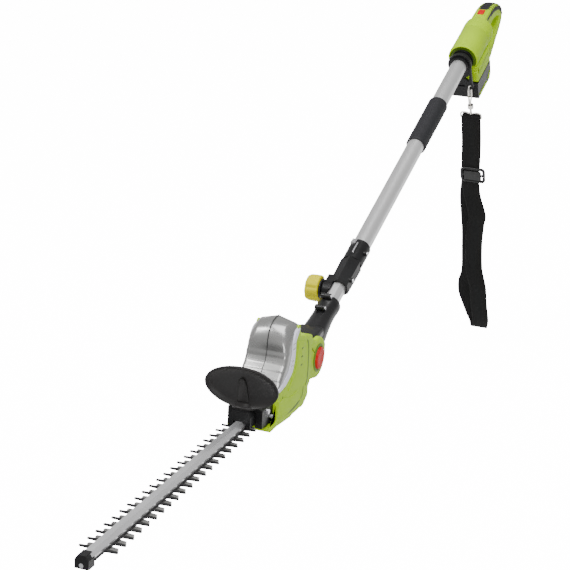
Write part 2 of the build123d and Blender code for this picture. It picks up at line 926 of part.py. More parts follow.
bracket_thick = 6
plate_rear = -214
bracket_mid = plate_rear + bracket_thick / 2
with BuildPart() as strap_bracket:
    with BuildSketch(Plane.YZ.offset(plate_rear)):
        Circle(collar_r + 2)
        Polygon((collar_r, 4), (eye_y + 6.5, eye_z), (eye_y - 6, eye_z - 3), (4 - collar_r, -11), align=None)
        with Locations((eye_y, eye_z)):
            Circle(7.5)
        Circle(collar_r - 2 + fit_gap, mode=Mode.SUBTRACT)
        Polygon((eye_y + 1, -20), (eye_y - 1, eye_z + 11), (7, -27), (12, -25), align=None, mode=Mode.SUBTRACT)
        with Locations((eye_y, eye_z)):
            Circle(3.6, mode=Mode.SUBTRACT)
    extrude(amount=bracket_thick)
save(strap_bracket.part, "strap_bracket")

with BuildPart() as grip_rubber:
    with BuildSketch(side(handle_half)):
        Polygon(*handle_outer, align=None)
        Polygon(*handle_hole, align=None, mode=Mode.SUBTRACT)
        Polygon(*rubber_line, align=None, mode=Mode.INTERSECT)
    extrude(amount=2 * handle_half)
    with BuildSketch(side(6.6)):
        Polygon((-350, 8), (-350, 40), (-374, 40), (-374, 8), align=None)
    extrude(amount=13.2, mode=Mode.SUBTRACT)
    with BuildSketch(side(4.4)):
        Polygon((-350, -10), (-350, 14), (-412, 14), (-412, -10), align=None)
    extrude(amount=8.8, mode=Mode.SUBTRACT)
    with BuildSketch(side(handle_half)):
        with Locations(trigger_pin):
            Circle(1.5)
    extrude(amount=2 * handle_half, mode=Mode.SUBTRACT)
save(grip_rubber.part, "grip_rubber")

with BuildPart() as trigger:
    with BuildSketch(side(4)):
        Polygon((-362, 4), (-404, 6), (-408, 2), (-404, -2), (-396, -14), (-380, -20), (-366, -20), align=None)
        with Locations(trigger_pin):
            Circle(4)
            Circle(1.6, mode=Mode.SUBTRACT)
    extrude(amount=8)
save(trigger.part, "trigger")

with BuildPart() as trigger_pivot:
    with BuildSketch(side(handle_half - 4)):
        with Locations(trigger_pin):
            Circle(1.5)
    extrude(amount=2 * handle_half - 8)
save(trigger_pivot.part, "trigger_pivot")

with BuildPart() as safety_button:
    with BuildSketch(side(6.3)):
        Polygon((-353, 16), (-353, 30), (-371, 28.5), (-371, 16), align=None)
    extrude(amount=12.6)
save(safety_button.part, "safety_button")

with BuildPart() as switch_block:
    with BuildSketch(side(8)):
        Polygon((-320, -12), (-320, 10), (-343, 10), (-343, -12), align=None)
    extrude(amount=16)
save(switch_block.part, "switch_block")

with BuildPart() as control_board:
    with BuildSketch(Plane.XY.offset(-30)):
        with Locations((-272, 0)):
            Rectangle(66, 44)
    extrude(amount=1.6)
save(control_board.part, "control_board")

with BuildPart() as battery_terminals:
    with BuildSketch(Plane.XY.offset(-38)):
        with Locations((-292, 0)):
            Rectangle(12, 30)
    extrude(amount=8)
    with BuildSketch(Plane.XY.offset(-44)):
        with Locations((-292, 0)):
            with GridLocations(0, 7, 1, 4):
                Rectangle(9, 0.9)
    extrude(amount=6)
save(battery_terminals.part, "battery_terminals")

rear_screw_places = [(-256, -34), (-303, -34)]
with BuildPart() as rear_screws:
    with BuildSketch(side(-bay_half)):
        with Locations(*rear_screw_places):
            Circle(3)
    extrude(amount=1.4)
    with BuildSketch(side(-handle_half)):
        with Locations((-446, -36), (-380, -64)):
            Circle(3)
    extrude(amount=1.4)
save(rear_screws.part, "rear_screws")

# ---- battery pack, its cells, lime stripes and latch ----
with BuildPart() as battery_case:
    with BuildSketch(side(bay_half)):
        Polygon(
            (battery_front, battery_top + 1.8),
            (battery_front, battery_bottom + 3),
            (battery_front - 3, battery_bottom),
            (battery_rear + 8, battery_bottom),
            (battery_rear, battery_bottom + 8),
            (battery_rear, battery_top + 1.8),
            align=None,
        )
    extrude(amount=2 * bay_half)
    with BuildSketch(side(bay_half - 2.5)):
        Polygon(
            (battery_front - 2.5, battery_top - 1),
            (battery_front - 2.5, battery_bottom + 4),
            (battery_rear + 9, battery_bottom + 4),
            (battery_rear + 2.5, battery_bottom + 10),
            (battery_rear + 2.5, battery_top - 1),
            align=None,
        )
    extrude(amount=2 * bay_half - 5, mode=Mode.SUBTRACT)
    # tongue that slides in the bay
    with BuildSketch(side(16)):
        Polygon((-240, battery_top + 1), (-240, -45.5), (-284, -45.5), (-284, battery_top + 1), align=None)
    extrude(amount=32)
    # pocket of the latch
    with BuildSketch(side(12)):
        Polygon(
            (battery_front + 1, -56),
            (battery_front + 1, -72),
            (battery_front - 3, -72),
            (battery_front - 3, -56),
            align=None,
        )
    extrude(amount=24, mode=Mode.SUBTRACT)
save(battery_case.part, "battery_case")

cell_r = 9
with BuildPart() as battery_cells:
    with BuildSketch(Plane.YZ.offset(-303)):
        with Locations((0, -66)):
            with GridLocations(18.1, 1, 3, 1):
                Circle(cell_r)
    extrude(amount=65)
save(battery_cells.part, "battery_cells")

with BuildPart() as battery_stripes:
    for stripe_y in (bay_half + 0.8, -bay_half):
        with BuildSketch(side(stripe_y)):
            Polygon((-232, -76), (-236, -80), (-286, -80), (-282, -76), align=None)
            Polygon((-290, -76), (-294, -80), (-306, -72), (-306, -66), align=None)
        extrude(amount=0.8)
save(battery_stripes.part, "battery_stripes")

with BuildPart() as battery_latch:
    with BuildSketch(side(11.6)):
        Polygon(
            (battery_front + 2, -57),
            (battery_front + 2, -71),
            (battery_front - 1, -71),
            (battery_front - 1, -57),
            align=None,
        )
    extrude(amount=23.2)
save(battery_latch.part, "battery_latch")

# ---- strap: snap hook, gate, swivel ring, webbing and slider ----
wire_r = 1.7
hook_top = eye_z + 1.6
cup_top = -88
cup_floor = -93.6
cup_bottom = -96


def tube_along(points, radii, wire):
    """Round wire along straight runs joined by arcs."""
    with BuildPart() as rod:
        with BuildLine() as path:
            FilletPolyline(*points, radius=radii)
        with BuildSketch(Plane(origin=path.line @ 0, z_dir=path.line % 0)):
            Circle(wire)
        sweep()
    return rod.part


hook_points = [
    (bracket_mid + 9, eye_y, -62),
    (bracket_mid + 9, eye_y, hook_top),
    (bracket_mid - 9, eye_y, hook_top),
    (bracket_mid - 9, eye_y, -75),
    (bracket_mid, eye_y, -82),
    (bracket_mid, eye_y, cup_top - 0.5),
]
hook_wire = tube_along(hook_points, [8, 8, 5, 2], wire_r)
with BuildPart() as snap_hook:
    add(hook_wire)
    with BuildSketch(Plane.XY.offset(cup_bottom)):
        with Locations((bracket_mid, eye_y)):
            Circle(5.6)
    extrude(amount=cup_top - cup_bottom)
    with BuildSketch(Plane.XY.offset(cup_floor)):
        with Locations((bracket_mid, eye_y)):
            Circle(4.4)
    extrude(amount=3.8, mode=Mode.SUBTRACT)
    with BuildSketch(Plane.XY.offset(cup_bottom)):
        with Locations((bracket_mid, eye_y)):
            Circle(2.1)
    extrude(amount=4, mode=Mode.SUBTRACT)
save(snap_hook.part, "snap_hook")

gate_top = -64.2
gate_low = -80
with BuildPart() as hook_gate:
    with BuildSketch(side(eye_y + 1.4)):
        Polygon(
            (bracket_mid + 7.6, gate_top),
            (bracket_mid + 10.4, gate_top),
            (bracket_mid + 9, gate_low - 1.5),
            (bracket_mid + 3.4, gate_low - 1.5),
            (bracket_mid + 3.4, gate_low + 1.5),
            (bracket_mid + 6.4, gate_low + 1.5),
            align=None,
        )
    extrude(amount=2.8)
save(hook_gate.part, "hook_gate")

bar_half = 1.7
ring_low = -120
ring_height = 14
ring_inner = webbing_width / 2 + 0.8
bar_z = ring_low + bar_half
with BuildPart() as strap_ring:
    with BuildSketch(Plane.YZ.offset(bracket_mid - bar_half)):
        with Locations((eye_y, ring_low + ring_height / 2)):
            RectangleRounded(2 * ring_inner + 4 * bar_half, ring_height, 4)
            RectangleRounded(2 * ring_inner, ring_height - 4 * bar_half, 2.4, mode=Mode.SUBTRACT)
    extrude(amount=2 * bar_half)
    with BuildSketch(Plane.XY.offset(ring_low + ring_height - 0.5)):
        with Locations((bracket_mid, eye_y)):
            Circle(1.9)
    extrude(amount=cup_floor + 1.2 - ring_low - ring_height + 0.5)
    with BuildSketch(Plane.XY.offset(cup_floor + 0.4)):
        with Locations((bracket_mid, eye_y)):
            Circle(4)
    extrude(amount=2.6)
save(strap_ring.part, "strap_ring")

leg_inner = leg_gap / 2
leg_outer = leg_inner + webbing_thick
strap_height = bar_z - strap_bottom - leg_outer
with BuildPart() as shoulder_strap:
    with BuildSketch(side(eye_y + webbing_width / 2)):
        with Locations((bracket_mid, bar_z - strap_height / 2)):
            SlotCenterToCenter(strap_height, 2 * leg_outer, rotation=90)
            SlotCenterToCenter(strap_height, 2 * leg_inner, rotation=90, mode=Mode.SUBTRACT)
    extrude(amount=webbing_width)
save(shoulder_strap.part, "shoulder_strap")

slider_play = 0.4
with BuildPart() as strap_slider:
    with BuildSketch(Plane.XY.offset(buckle_z - buckle_height / 2)):
        with Locations((bracket_mid + (leg_inner + leg_outer) / 2, eye_y)):
            RectangleRounded(webbing_thick + 6.4, webbing_width + 9, 2)
            Rectangle(webbing_thick + 2 * slider_play, webbing_width + 2 * slider_play, mode=Mode.SUBTRACT)
    extrude(amount=buckle_height)
save(strap_slider.part, "strap_slider")
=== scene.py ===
"""Looks of the telescopic hedge trimmer: moulded shells, grips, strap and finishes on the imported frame."""

import json
from math import cos, pi, radians, sin

import bmesh
import bpy
import numpy as np
from mathutils import Matrix, Vector


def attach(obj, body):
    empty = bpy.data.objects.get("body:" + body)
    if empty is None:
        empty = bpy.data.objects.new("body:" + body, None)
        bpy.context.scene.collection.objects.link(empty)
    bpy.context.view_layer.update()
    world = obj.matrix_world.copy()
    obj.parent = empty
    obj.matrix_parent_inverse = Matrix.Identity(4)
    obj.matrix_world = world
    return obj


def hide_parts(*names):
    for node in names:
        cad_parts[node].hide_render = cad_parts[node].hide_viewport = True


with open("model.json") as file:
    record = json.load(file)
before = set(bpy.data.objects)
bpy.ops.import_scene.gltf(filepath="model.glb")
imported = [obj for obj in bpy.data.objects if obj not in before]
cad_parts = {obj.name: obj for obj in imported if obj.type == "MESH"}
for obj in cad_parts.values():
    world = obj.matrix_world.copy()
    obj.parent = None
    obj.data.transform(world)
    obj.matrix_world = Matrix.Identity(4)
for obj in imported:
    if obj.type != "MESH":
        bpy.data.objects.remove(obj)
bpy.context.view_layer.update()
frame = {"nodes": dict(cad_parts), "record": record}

MM = 0.001
TILT = radians(22.7)
PIVOT = np.array([0.664, 0.0, 0.008])
FORWARD = np.array([cos(TILT), 0.0, sin(TILT)])
LEFT = np.array([0.0, 1.0, 0.0])
UPWARD = np.array([-sin(TILT), 0.0, cos(TILT)])


# ------------------------------------------------------------------ places

def on_head(a, y, b):
    """World metres of head points in mm from the pivot: a along the blade, y to the left, b up."""
    a, y, b = np.broadcast_arrays(a, y, b)
    return PIVOT + MM * (a[..., None] * FORWARD + y[..., None] * LEFT + b[..., None] * UPWARD)


def on_pole(a, y, b):
    """World metres of pole points: a mm along X, y to the left, b up."""
    a, y, b = np.broadcast_arrays(a, y, b)
    return MM * np.stack([a, y, b], -1).astype(float)


# ------------------------------------------------------------------ mesh makers

def make_piece(name, points, faces, material, body, nodes=(), slot=None, sharp=35):
    """A mesh object at the origin from world points, smooth but for edges sharper than `sharp` degrees."""
    mesh = bpy.data.meshes.new(name)
    mesh.from_pydata(np.asarray(points).reshape(-1, 3).tolist(), [], [list(map(int, f)) for f in faces])
    mesh.validate()
    mesh.polygons.foreach_set("use_smooth", np.ones(len(mesh.polygons), bool))
    mesh.set_sharp_from_angle(angle=radians(sharp))
    mesh.materials.append(material)
    piece = bpy.data.objects.new(name, mesh)
    bpy.context.scene.collection.objects.link(piece)
    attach(piece, body)
    if nodes:
        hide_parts(*nodes)
    return piece


def outward(piece):
    """Recalculate the faces so that they point out of the closed shape."""
    work = bmesh.new()
    work.from_mesh(piece.data)
    bmesh.ops.remove_doubles(work, verts=work.verts, dist=1e-6)
    bmesh.ops.recalc_face_normals(work, faces=work.faces)
    work.to_mesh(piece.data)
    work.free()
    piece.data.set_sharp_from_angle(angle=radians(35))
    return piece


def grid_faces(rows, columns, closed_rows=False, closed_columns=True, start=0):
    """Quads between neighbouring points of a rows by columns grid, wrapped where closed."""
    i = np.arange(rows if closed_rows else rows - 1)[:, None]
    j = np.arange(columns if closed_columns else columns - 1)[None, :]
    i2, j2 = (i + 1) % rows, (j + 1) % columns
    quads = np.stack(np.broadcast_arrays(i * columns + j, i * columns + j2, i2 * columns + j2,
                                         i2 * columns + j), -1)
    return (quads.reshape(-1, 4) + start).tolist()


def rounded(points, radius, steps=6):
    """A closed outline whose corners become quadratic curves that start `radius` before each corner."""
    points = np.asarray(points, float)
    radius = np.broadcast_to(np.asarray(radius, float), len(points))
    before, after = np.roll(points, 1, 0), np.roll(points, -1, 0)
    back, ahead = before - points, after - points
    back_len, ahead_len = np.linalg.norm(back, axis=1), np.linalg.norm(ahead, axis=1)
    start = points + back * (np.minimum(radius, 0.48 * back_len) / back_len)[:, None]
    end = points + ahead * (np.minimum(radius, 0.48 * ahead_len) / ahead_len)[:, None]
    t = np.linspace(0, 1, steps)[None, :, None]
    curve = (1 - t) ** 2 * start[:, None] + 2 * t * (1 - t) * points[:, None] + t ** 2 * end[:, None]
    return curve.reshape(-1, 2)


def inward_normals(outline):
    """Unit normals of a closed outline that point into it."""
    along = np.roll(outline, -1, 0) - np.roll(outline, 1, 0)
    normal = np.stack([-along[:, 1], along[:, 0]], 1)
    normal /= np.maximum(np.linalg.norm(normal, axis=1), 1e-9)[:, None]
    x, y = outline[:, 0], outline[:, 1]
    area = 0.5 * np.sum(x * np.roll(y, -1) - np.roll(x, -1) * y)
    return normal * np.sign(area)


ROLL_STEPS = 6


def end_faces(rows, columns):
    """Two flat faces that close the first and last rings of a grid."""
    return [list(range(columns))[::-1], list(range((rows - 1) * columns, rows * columns))]


def slab_points(outline, low, high, edge_low, edge_high, place):
    """Rings of a slab: the outline carried from y=low to y=high, its rims rolled in by a quarter circle."""
    inward = inward_normals(outline)
    edge_low = np.broadcast_to(np.asarray(edge_low, float), len(outline))
    edge_high = np.broadcast_to(np.asarray(edge_high, float), len(outline))
    turn = np.linspace(0, pi / 2, ROLL_STEPS)
    rings = []
    for angle in turn[::-1]:
        inset, rise = edge_low * (1 - cos(angle)), edge_low * (1 - sin(angle))
        flat = outline + inward * inset[:, None]
        rings.append(place(flat[:, 0], low + rise, flat[:, 1]))
    for angle in turn:
        inset, rise = edge_high * (1 - cos(angle)), edge_high * (1 - sin(angle))
        flat = outline + inward * inset[:, None]
        rings.append(place(flat[:, 0], high - rise, flat[:, 1]))
    return np.stack(rings)


def slab(outline, low, high, edge, place, edge_low=None):
    """Points and faces of a closed slab with rolled rims and flat ends."""
    rings = slab_points(outline, low, high, edge if edge_low is None else edge_low, edge, place)
    rows, columns = rings.shape[:2]
    return rings.reshape(-1, 3), grid_faces(rows, columns) + end_faces(rows, columns)


def joined(*shapes):
    """One list of points and faces from several (points, faces) shapes."""
    points, faces, start = [], [], 0
    for shape_points, shape_faces in shapes:
        points.append(np.asarray(shape_points).reshape(-1, 3))
        faces += [[v + start for v in f] for f in shape_faces]
        start += len(points[-1])
    return np.concatenate(points), faces


def turned(profile, centre, axis, across, around=64, closed=True):
    """A closed (distance along the axis, radius) profile in mm turned about the axis through centre."""
    profile = np.asarray(profile, float)
    axis, across = np.asarray(axis, float), np.asarray(across, float)
    third = np.cross(axis, across)
    angle = np.arange(around) * 2 * pi / around
    ring = np.cos(angle)[:, None] * across + np.sin(angle)[:, None] * third
    along, radius = profile[:, 0, None, None], profile[:, 1, None, None]
    points = (np.asarray(centre, float) + MM * (along * axis + radius * ring)).reshape(-1, 3)
    rows = len(profile)
    if closed:
        return points, grid_faces(rows, around, closed_rows=True)
    return points, grid_faces(rows, around) + end_faces(rows, around)


def lofted(rings):
    """Closed skin through rings of points, with flat ends."""
    rings = np.asarray(rings, float)
    rows, columns = rings.shape[:2]
    return rings.reshape(-1, 3), grid_faces(rows, columns) + end_faces(rows, columns)


def smooth_path(points, count, closed=False):
    """Catmull-Rom curve through the points, sampled evenly in its own parameter."""
    points = np.asarray(points, float)
    n = len(points)
    if closed:
        t = np.linspace(0, n, count, endpoint=False)
        i = np.floor(t).astype(int)
        f = (t - i)[:, None]
        p0, p1, p2, p3 = (points[(i + k) % n] for k in (-1, 0, 1, 2))
    else:
        t = np.linspace(0, n - 1, count)
        i = np.minimum(np.floor(t).astype(int), n - 2)
        f = (t - i)[:, None]
        p0, p1, p2, p3 = (points[np.clip(i + k, 0, n - 1)] for k in (-1, 0, 1, 2))
    return 0.5 * (2 * p1 + (p2 - p0) * f + (2 * p0 - 5 * p1 + 4 * p2 - p3) * f ** 2
                  + (3 * p1 - p0 - 3 * p2 + p3) * f ** 3)


def wire(points, radius, around=16, closed=False):
    """A round wire of the given radius in mm along world points in mm."""
    path = np.asarray(points, float)
    ahead = np.gradient(path, axis=0)
    if closed:
        ahead = np.roll(path, -1, 0) - np.roll(path, 1, 0)
    ahead /= np.linalg.norm(ahead, axis=1)[:, None]
    side_way = np.zeros_like(path)
    guide = np.array([0.31, 0.17, 0.93]) if abs(ahead[0][2]) < 0.8 else np.array([0.9, 0.4, 0.1])
    guide = guide - ahead[0] * (guide @ ahead[0])
    for k in range(len(path)):
        guide = guide - ahead[k] * (guide @ ahead[k])
        guide /= np.linalg.norm(guide)
        side_way[k] = guide
    other = np.cross(ahead, side_way)
    angle = np.arange(around) * 2 * pi / around
    rings = path[:, None] + radius * (np.cos(angle)[None, :, None] * side_way[:, None]
                                      + np.sin(angle)[None, :, None] * other[:, None])
    if closed:
        return MM * rings.reshape(-1, 3), grid_faces(len(path), around, closed_rows=True)
    return lofted(MM * rings)


def solidify(piece, thickness, offset=-1):
    """Give an open skin its wall."""
    wall = piece.modifiers.new("wall", "SOLIDIFY")
    wall.thickness = thickness
    wall.offset = offset
    wall.use_even_offset = True
    return piece


# ------------------------------------------------------------------ materials

def finish(name, colour, rough=0.4, metallic=0.0, grain=(600, 0.02), vary=0.06, stretch=(1, 1, 1),
           spots=(25, 0.05), specular=0.5):
    """A moulded or metal finish: slow colour drift, fine grain in the bump, and uneven roughness."""
    material = bpy.data.materials.new(name)
    material.use_nodes = True
    nodes, links = material.node_tree.nodes, material.node_tree.links
    shader = nodes["Principled BSDF"]
    shader.inputs["Metallic"].default_value = metallic
    shader.inputs["Specular IOR Level"].default_value = specular
    place = nodes.new("ShaderNodeTexCoord")
    stretched = nodes.new("ShaderNodeMapping")
    stretched.inputs["Scale"].default_value = stretch
    links.new(place.outputs["Object"], stretched.inputs["Vector"])

    drift = nodes.new("ShaderNodeTexNoise")
    drift.inputs["Scale"].default_value = spots[0]
    drift.inputs["Detail"].default_value = 5
    links.new(stretched.outputs["Vector"], drift.inputs["Vector"])
    tones = nodes.new("ShaderNodeValToRGB")
    tones.color_ramp.elements[0].position = 0.3
    tones.color_ramp.elements[1].position = 0.72
    dark = [c * (1 - vary) for c in colour]
    light = [min(1.0, c * (1 + vary)) for c in colour]
    tones.color_ramp.elements[0].color = (*dark, 1)
    tones.color_ramp.elements[1].color = (*light, 1)
    links.new(drift.outputs["Fac"], tones.inputs["Fac"])
    links.new(tones.outputs["Color"], shader.inputs["Base Color"])

    fine = nodes.new("ShaderNodeTexNoise")
    fine.inputs["Scale"].default_value = grain[0]
    fine.inputs["Detail"].default_value = 3
    links.new(stretched.outputs["Vector"], fine.inputs["Vector"])
    spread = nodes.new("ShaderNodeMapRange")
    spread.inputs["To Min"].default_value = max(0.03, rough - 0.06)
    spread.inputs["To Max"].default_value = min(1.0, rough + 0.12)
    links.new(drift.outputs["Fac"], spread.inputs["Value"])
    links.new(spread.outputs["Result"], shader.inputs["Roughness"])
    bump = nodes.new("ShaderNodeBump")
    bump.inputs["Strength"].default_value = 0.35
    bump.inputs["Distance"].default_value = grain[1] * MM
    links.new(fine.outputs["Fac"], bump.inputs["Height"])
    links.new(bump.outputs["Normal"], shader.inputs["Normal"])
    return material


def woven(name, colour):
    """Webbing: warp ribs along the strap and picks across it, from the piece's own UV map."""
    material = bpy.data.materials.new(name)
    material.use_nodes = True
    nodes, links = material.node_tree.nodes, material.node_tree.links
    shader = nodes["Principled BSDF"]
    shader.inputs["Sheen Weight"].default_value = 0.04
    shader.inputs["Sheen Roughness"].default_value = 0.5
    shader.inputs["Roughness"].default_value = 0.82
    shader.inputs["Specular IOR Level"].default_value = 0.12
    uv = nodes.new("ShaderNodeUVMap")
    uv.uv_map = "weave"
    warp = nodes.new("ShaderNodeTexWave")
    warp.wave_type, warp.bands_direction = "BANDS", "X"
    warp.inputs["Scale"].default_value = 7.0
    warp.inputs["Distortion"].default_value = 0.25
    picks = nodes.new("ShaderNodeTexWave")
    picks.wave_type, picks.bands_direction = "BANDS", "Y"
    picks.inputs["Scale"].default_value = 160.0
    picks.inputs["Distortion"].default_value = 0.4
    fuzz = nodes.new("ShaderNodeTexNoise")
    fuzz.inputs["Scale"].default_value = 90
    for texture in (warp, picks, fuzz):
        links.new(uv.outputs["UV"], texture.inputs["Vector"])
    weave = nodes.new("ShaderNodeMath")
    weave.operation = "MULTIPLY_ADD"
    links.new(warp.outputs["Fac"], weave.inputs[0])
    links.new(picks.outputs["Fac"], weave.inputs[1])
    links.new(fuzz.outputs["Fac"], weave.inputs[2])
    tones = nodes.new("ShaderNodeValToRGB")
    tones.color_ramp.elements[0].position = 0.35
    tones.color_ramp.elements[1].position = 1.3 / 1.6
    tones.color_ramp.elements[0].color = (*[c * 0.55 for c in colour], 1)
    tones.color_ramp.elements[1].color = (*[c * 1.6 for c in colour], 1)
    links.new(weave.outputs["Value"], tones.inputs["Fac"])
    links.new(tones.outputs["Color"], shader.inputs["Base Color"])
    bump = nodes.new("ShaderNodeBump")
    bump.inputs["Strength"].default_value = 0.6
    bump.inputs["Distance"].default_value = 0.0004
    links.new(weave.outputs["Value"], bump.inputs["Height"])
    links.new(bump.outputs["Normal"], shader.inputs["Normal"])
    return material


lime = finish("lime moulding", (0.31, 0.50, 0.0), rough=0.45, grain=(900, 0.03), vary=0.05, spots=(14, 0),
              specular=0.08)
# Dark green of its own, also used below as painted shade for the dark inside the flank grooves, vent slots
# and bay groove.
dark_lime = finish("dark green and painted recess shade", (0.085, 0.16, 0.008), rough=0.5, grain=(900, 0.03), specular=0.2)
black = finish("black moulding", (0.006, 0.006, 0.0065), rough=0.36, grain=(1100, 0.05), vary=0.15,
               specular=0.22)
gloss_black = finish("polished black", (0.006, 0.006, 0.0065), rough=0.26, grain=(700, 0.02), vary=0.15,
                     specular=0.35)
guard_black = finish("guard black", (0.013, 0.012, 0.012), rough=0.42, grain=(1200, 0.08), vary=0.12,
                     specular=0.25)
rubber = finish("soft ribbed rubber", (0.008, 0.008, 0.009), rough=0.5, grain=(1500, 0.08), vary=0.2,
                specular=0.25)
foam = finish("foam sleeve", (0.012, 0.012, 0.014), rough=0.6, grain=(1900, 0.25), vary=0.18,
              spots=(220, 0), specular=0.25)
red = finish("red moulding", (0.46, 0.004, 0.002), rough=0.40, specular=0.12, grain=(900, 0.03), vary=0.08)
yellow = finish("knob yellow", (0.50, 0.45, 0.0015), rough=0.45, specular=0.12, grain=(900, 0.05),
                vary=0.08)
silver = finish("silver lacquer", (0.30, 0.30, 0.295), rough=0.24, metallic=0.75, grain=(2200, 0.03),
                vary=0.04)
pale = finish("pale rim", (0.62, 0.62, 0.70), rough=0.35, specular=0.3, grain=(900, 0.02), vary=0.02)
tube_metal = finish("anodised tube", (0.72, 0.72, 0.72), rough=0.30, metallic=0.85, grain=(500, 0.02),
                    vary=0.03, stretch=(0.06, 1, 1), spots=(60, 0))
rail_metal = finish("extruded rail", (0.74, 0.74, 0.75), rough=0.28, metallic=0.85, grain=(420, 0.03),
                    vary=0.04, stretch=(0.08, 1, 0.2), spots=(80, 0))
blade_metal = finish("ground blade", (0.30, 0.30, 0.29), rough=0.30, metallic=0.9, grain=(500, 0.03),
                     vary=0.2, stretch=(1, 0.15, 1), spots=(90, 0))
dark_metal = finish("blackened steel", (0.012, 0.012, 0.012), rough=0.42, metallic=0.3, specular=0.3,
                    grain=(700, 0.04), vary=0.25)
screw_metal = finish("zinc screw", (0.66, 0.66, 0.68), rough=0.28, metallic=1.0, grain=(800, 0.02),
                     vary=0.08)
nickel = finish("nickel plate", (0.66, 0.64, 0.60), rough=0.20, metallic=1.0, grain=(500, 0.02), vary=0.10)
gear_metal = finish("machined steel", (0.42, 0.42, 0.43), rough=0.32, metallic=1.0, grain=(500, 0.03),
                    vary=0.08)
board = finish("solder mask", (0.02, 0.14, 0.05), rough=0.3, grain=(900, 0.03), vary=0.2)
cell_wrap = finish("cell sleeve", (0.05, 0.15, 0.32), rough=0.35, grain=(900, 0.02), vary=0.05)
webbing = woven("black webbing", (0.0042, 0.0040, 0.0040))

SLOT_FINISH = {
    "tube": tube_metal, "foam": foam, "black_plastic": black, "lime_plastic": lime, "dark_lime": dark_lime,
    "red_plastic": red, "yellow_plastic": yellow, "silver_plastic": silver, "pale_plastic": pale,
    "rail_aluminium": rail_metal, "blade_steel": blade_metal, "dark_steel": dark_metal,
    "screw_steel": screw_metal, "gear_steel": gear_metal, "hook_metal": nickel, "grip_rubber": rubber,
    "webbing": webbing,
    "board": board, "cell": cell_wrap}
for part in frame["record"]["subparts"]:
    node = frame["nodes"][part["node"]]
    node.data.materials.clear()
    node.data.materials.append(SLOT_FINISH[part["material_slot"]])



# ------------------------------------------------------------------ cutter head

HEAD_HALF = 34.0
WALL = 3.0
TRAY_STEPS = 7


def tray(outline, seam, outer, edge, wall, place):
    """Half a moulded shell: out from the seam to a rolled rim, then back inside, one wall in.

    Each ring is the outline moved inward. The rim rolls over in a quarter circle of radius `edge`.
    """
    inward = inward_normals(outline)
    way = np.sign(outer - seam)
    rings = [place(outline[:, 0], seam, outline[:, 1])]
    for angle in np.linspace(0, pi / 2, TRAY_STEPS):
        flat = outline + inward * (edge * (1 - cos(angle)))[:, None]
        rings.append(place(flat[:, 0], outer - way * edge * (1 - sin(angle)), flat[:, 1]))
    inner = outline + inward * wall[:, None]
    deep = outline + inward * (wall + edge)[:, None]
    rings.append(place(deep[:, 0], outer - way * WALL, deep[:, 1]))
    rings.append(place(inner[:, 0], outer - way * (WALL + edge), inner[:, 1]))
    rings.append(place(inner[:, 0], seam, inner[:, 1]))
    rings = np.stack(rings)
    rows, columns = rings.shape[:2]
    cap = TRAY_STEPS
    faces = grid_faces(cap + 1, columns)
    faces += grid_faces(rows - cap - 1, columns, start=(cap + 1) * columns)
    j = np.arange(columns)
    k = (j + 1) % columns
    last = (rows - 1) * columns
    faces += np.stack([last + j, last + k, k, j], 1).tolist()
    faces.append((cap * columns + j).tolist())
    faces.append(((cap + 1) * columns + j)[::-1].tolist())
    return rings.reshape(-1, 3), faces


def circle_outline(centre, radius, start, stop, count):
    """Points on an arc, angles in degrees."""
    angle = np.radians(np.linspace(start, stop, count))
    return [(centre[0] + radius * cos(t), centre[1] + radius * sin(t)) for t in angle]


def shade_strip_on_flank(path, width, side_y, depth, lift):
    """A thin closed strip of painted groove shade, of that width along a path on the head's flank, standing
    `lift` out of the face.
    """
    path = np.asarray(path, float)
    ahead = np.gradient(path, axis=0)
    ahead /= np.linalg.norm(ahead, axis=1)[:, None]
    across = np.stack([-ahead[:, 1], ahead[:, 0]], 1)
    half = width / 2 * np.minimum(1, np.minimum(np.arange(len(path)),
                                                np.arange(len(path))[::-1]) * 0.4 + 0.25)
    left, right = path + across * half[:, None], path - across * half[:, None]
    way = np.sign(side_y)
    sunk, proud = side_y - way * depth, side_y + way * lift
    corners = [(left, sunk), (left, proud), (right, proud), (right, sunk)]
    return lofted(np.stack([on_head(edge[:, 0], y, edge[:, 1]) for edge, y in corners], 1))


belly = [(205, -51), (204, -44.5), (181, -43.8), (178, -41), (178, -28), (178, -14), (178, 0.4), (150, 3),
         (123, 16), (114, 38), (114, 68), (103, 84),
         (96, 84), (92, 64), (64, 58), (38, 50), (42, -26), (50, -30), (47, -42), (60, -57), (90, -60),
         (143, -57)]
corner = [3, 2, 2, 2, 1, 1, 6, 9, 9, 6, 6, 3, 2.5, 5, 8, 6, 4, 4, 6, 12, 20, 30]
shell_outline = rounded(belly, corner)
shell_wall = np.repeat([1.5, 1.5, 2, 2, 2.5, 2.5, 2.5, 2.5, 3, 3, 3, 2, 2, 3, 3, 3, 3, 3, 3, 3, 3, 3],
                       6).astype(float)
rim_roll = np.repeat([1, 0.8, 0.8, 0.8, 1.2, 1.6, 1.6, 1.6, 1.6, 1.6, 1.6, 1, 0.8, 2.2, 4, 3, 2, 2, 3, 6, 9,
                      6], 6).astype(float)
cheek_outline = rounded(
    [(64, 53), (40, 48), (14, 33), *circle_outline((0, 0), 33, 75, 285, 15), (14, -30), (46, -25),
     (66, -10)], [3, 4, 5, *[3] * 15, 5, 4, 3])
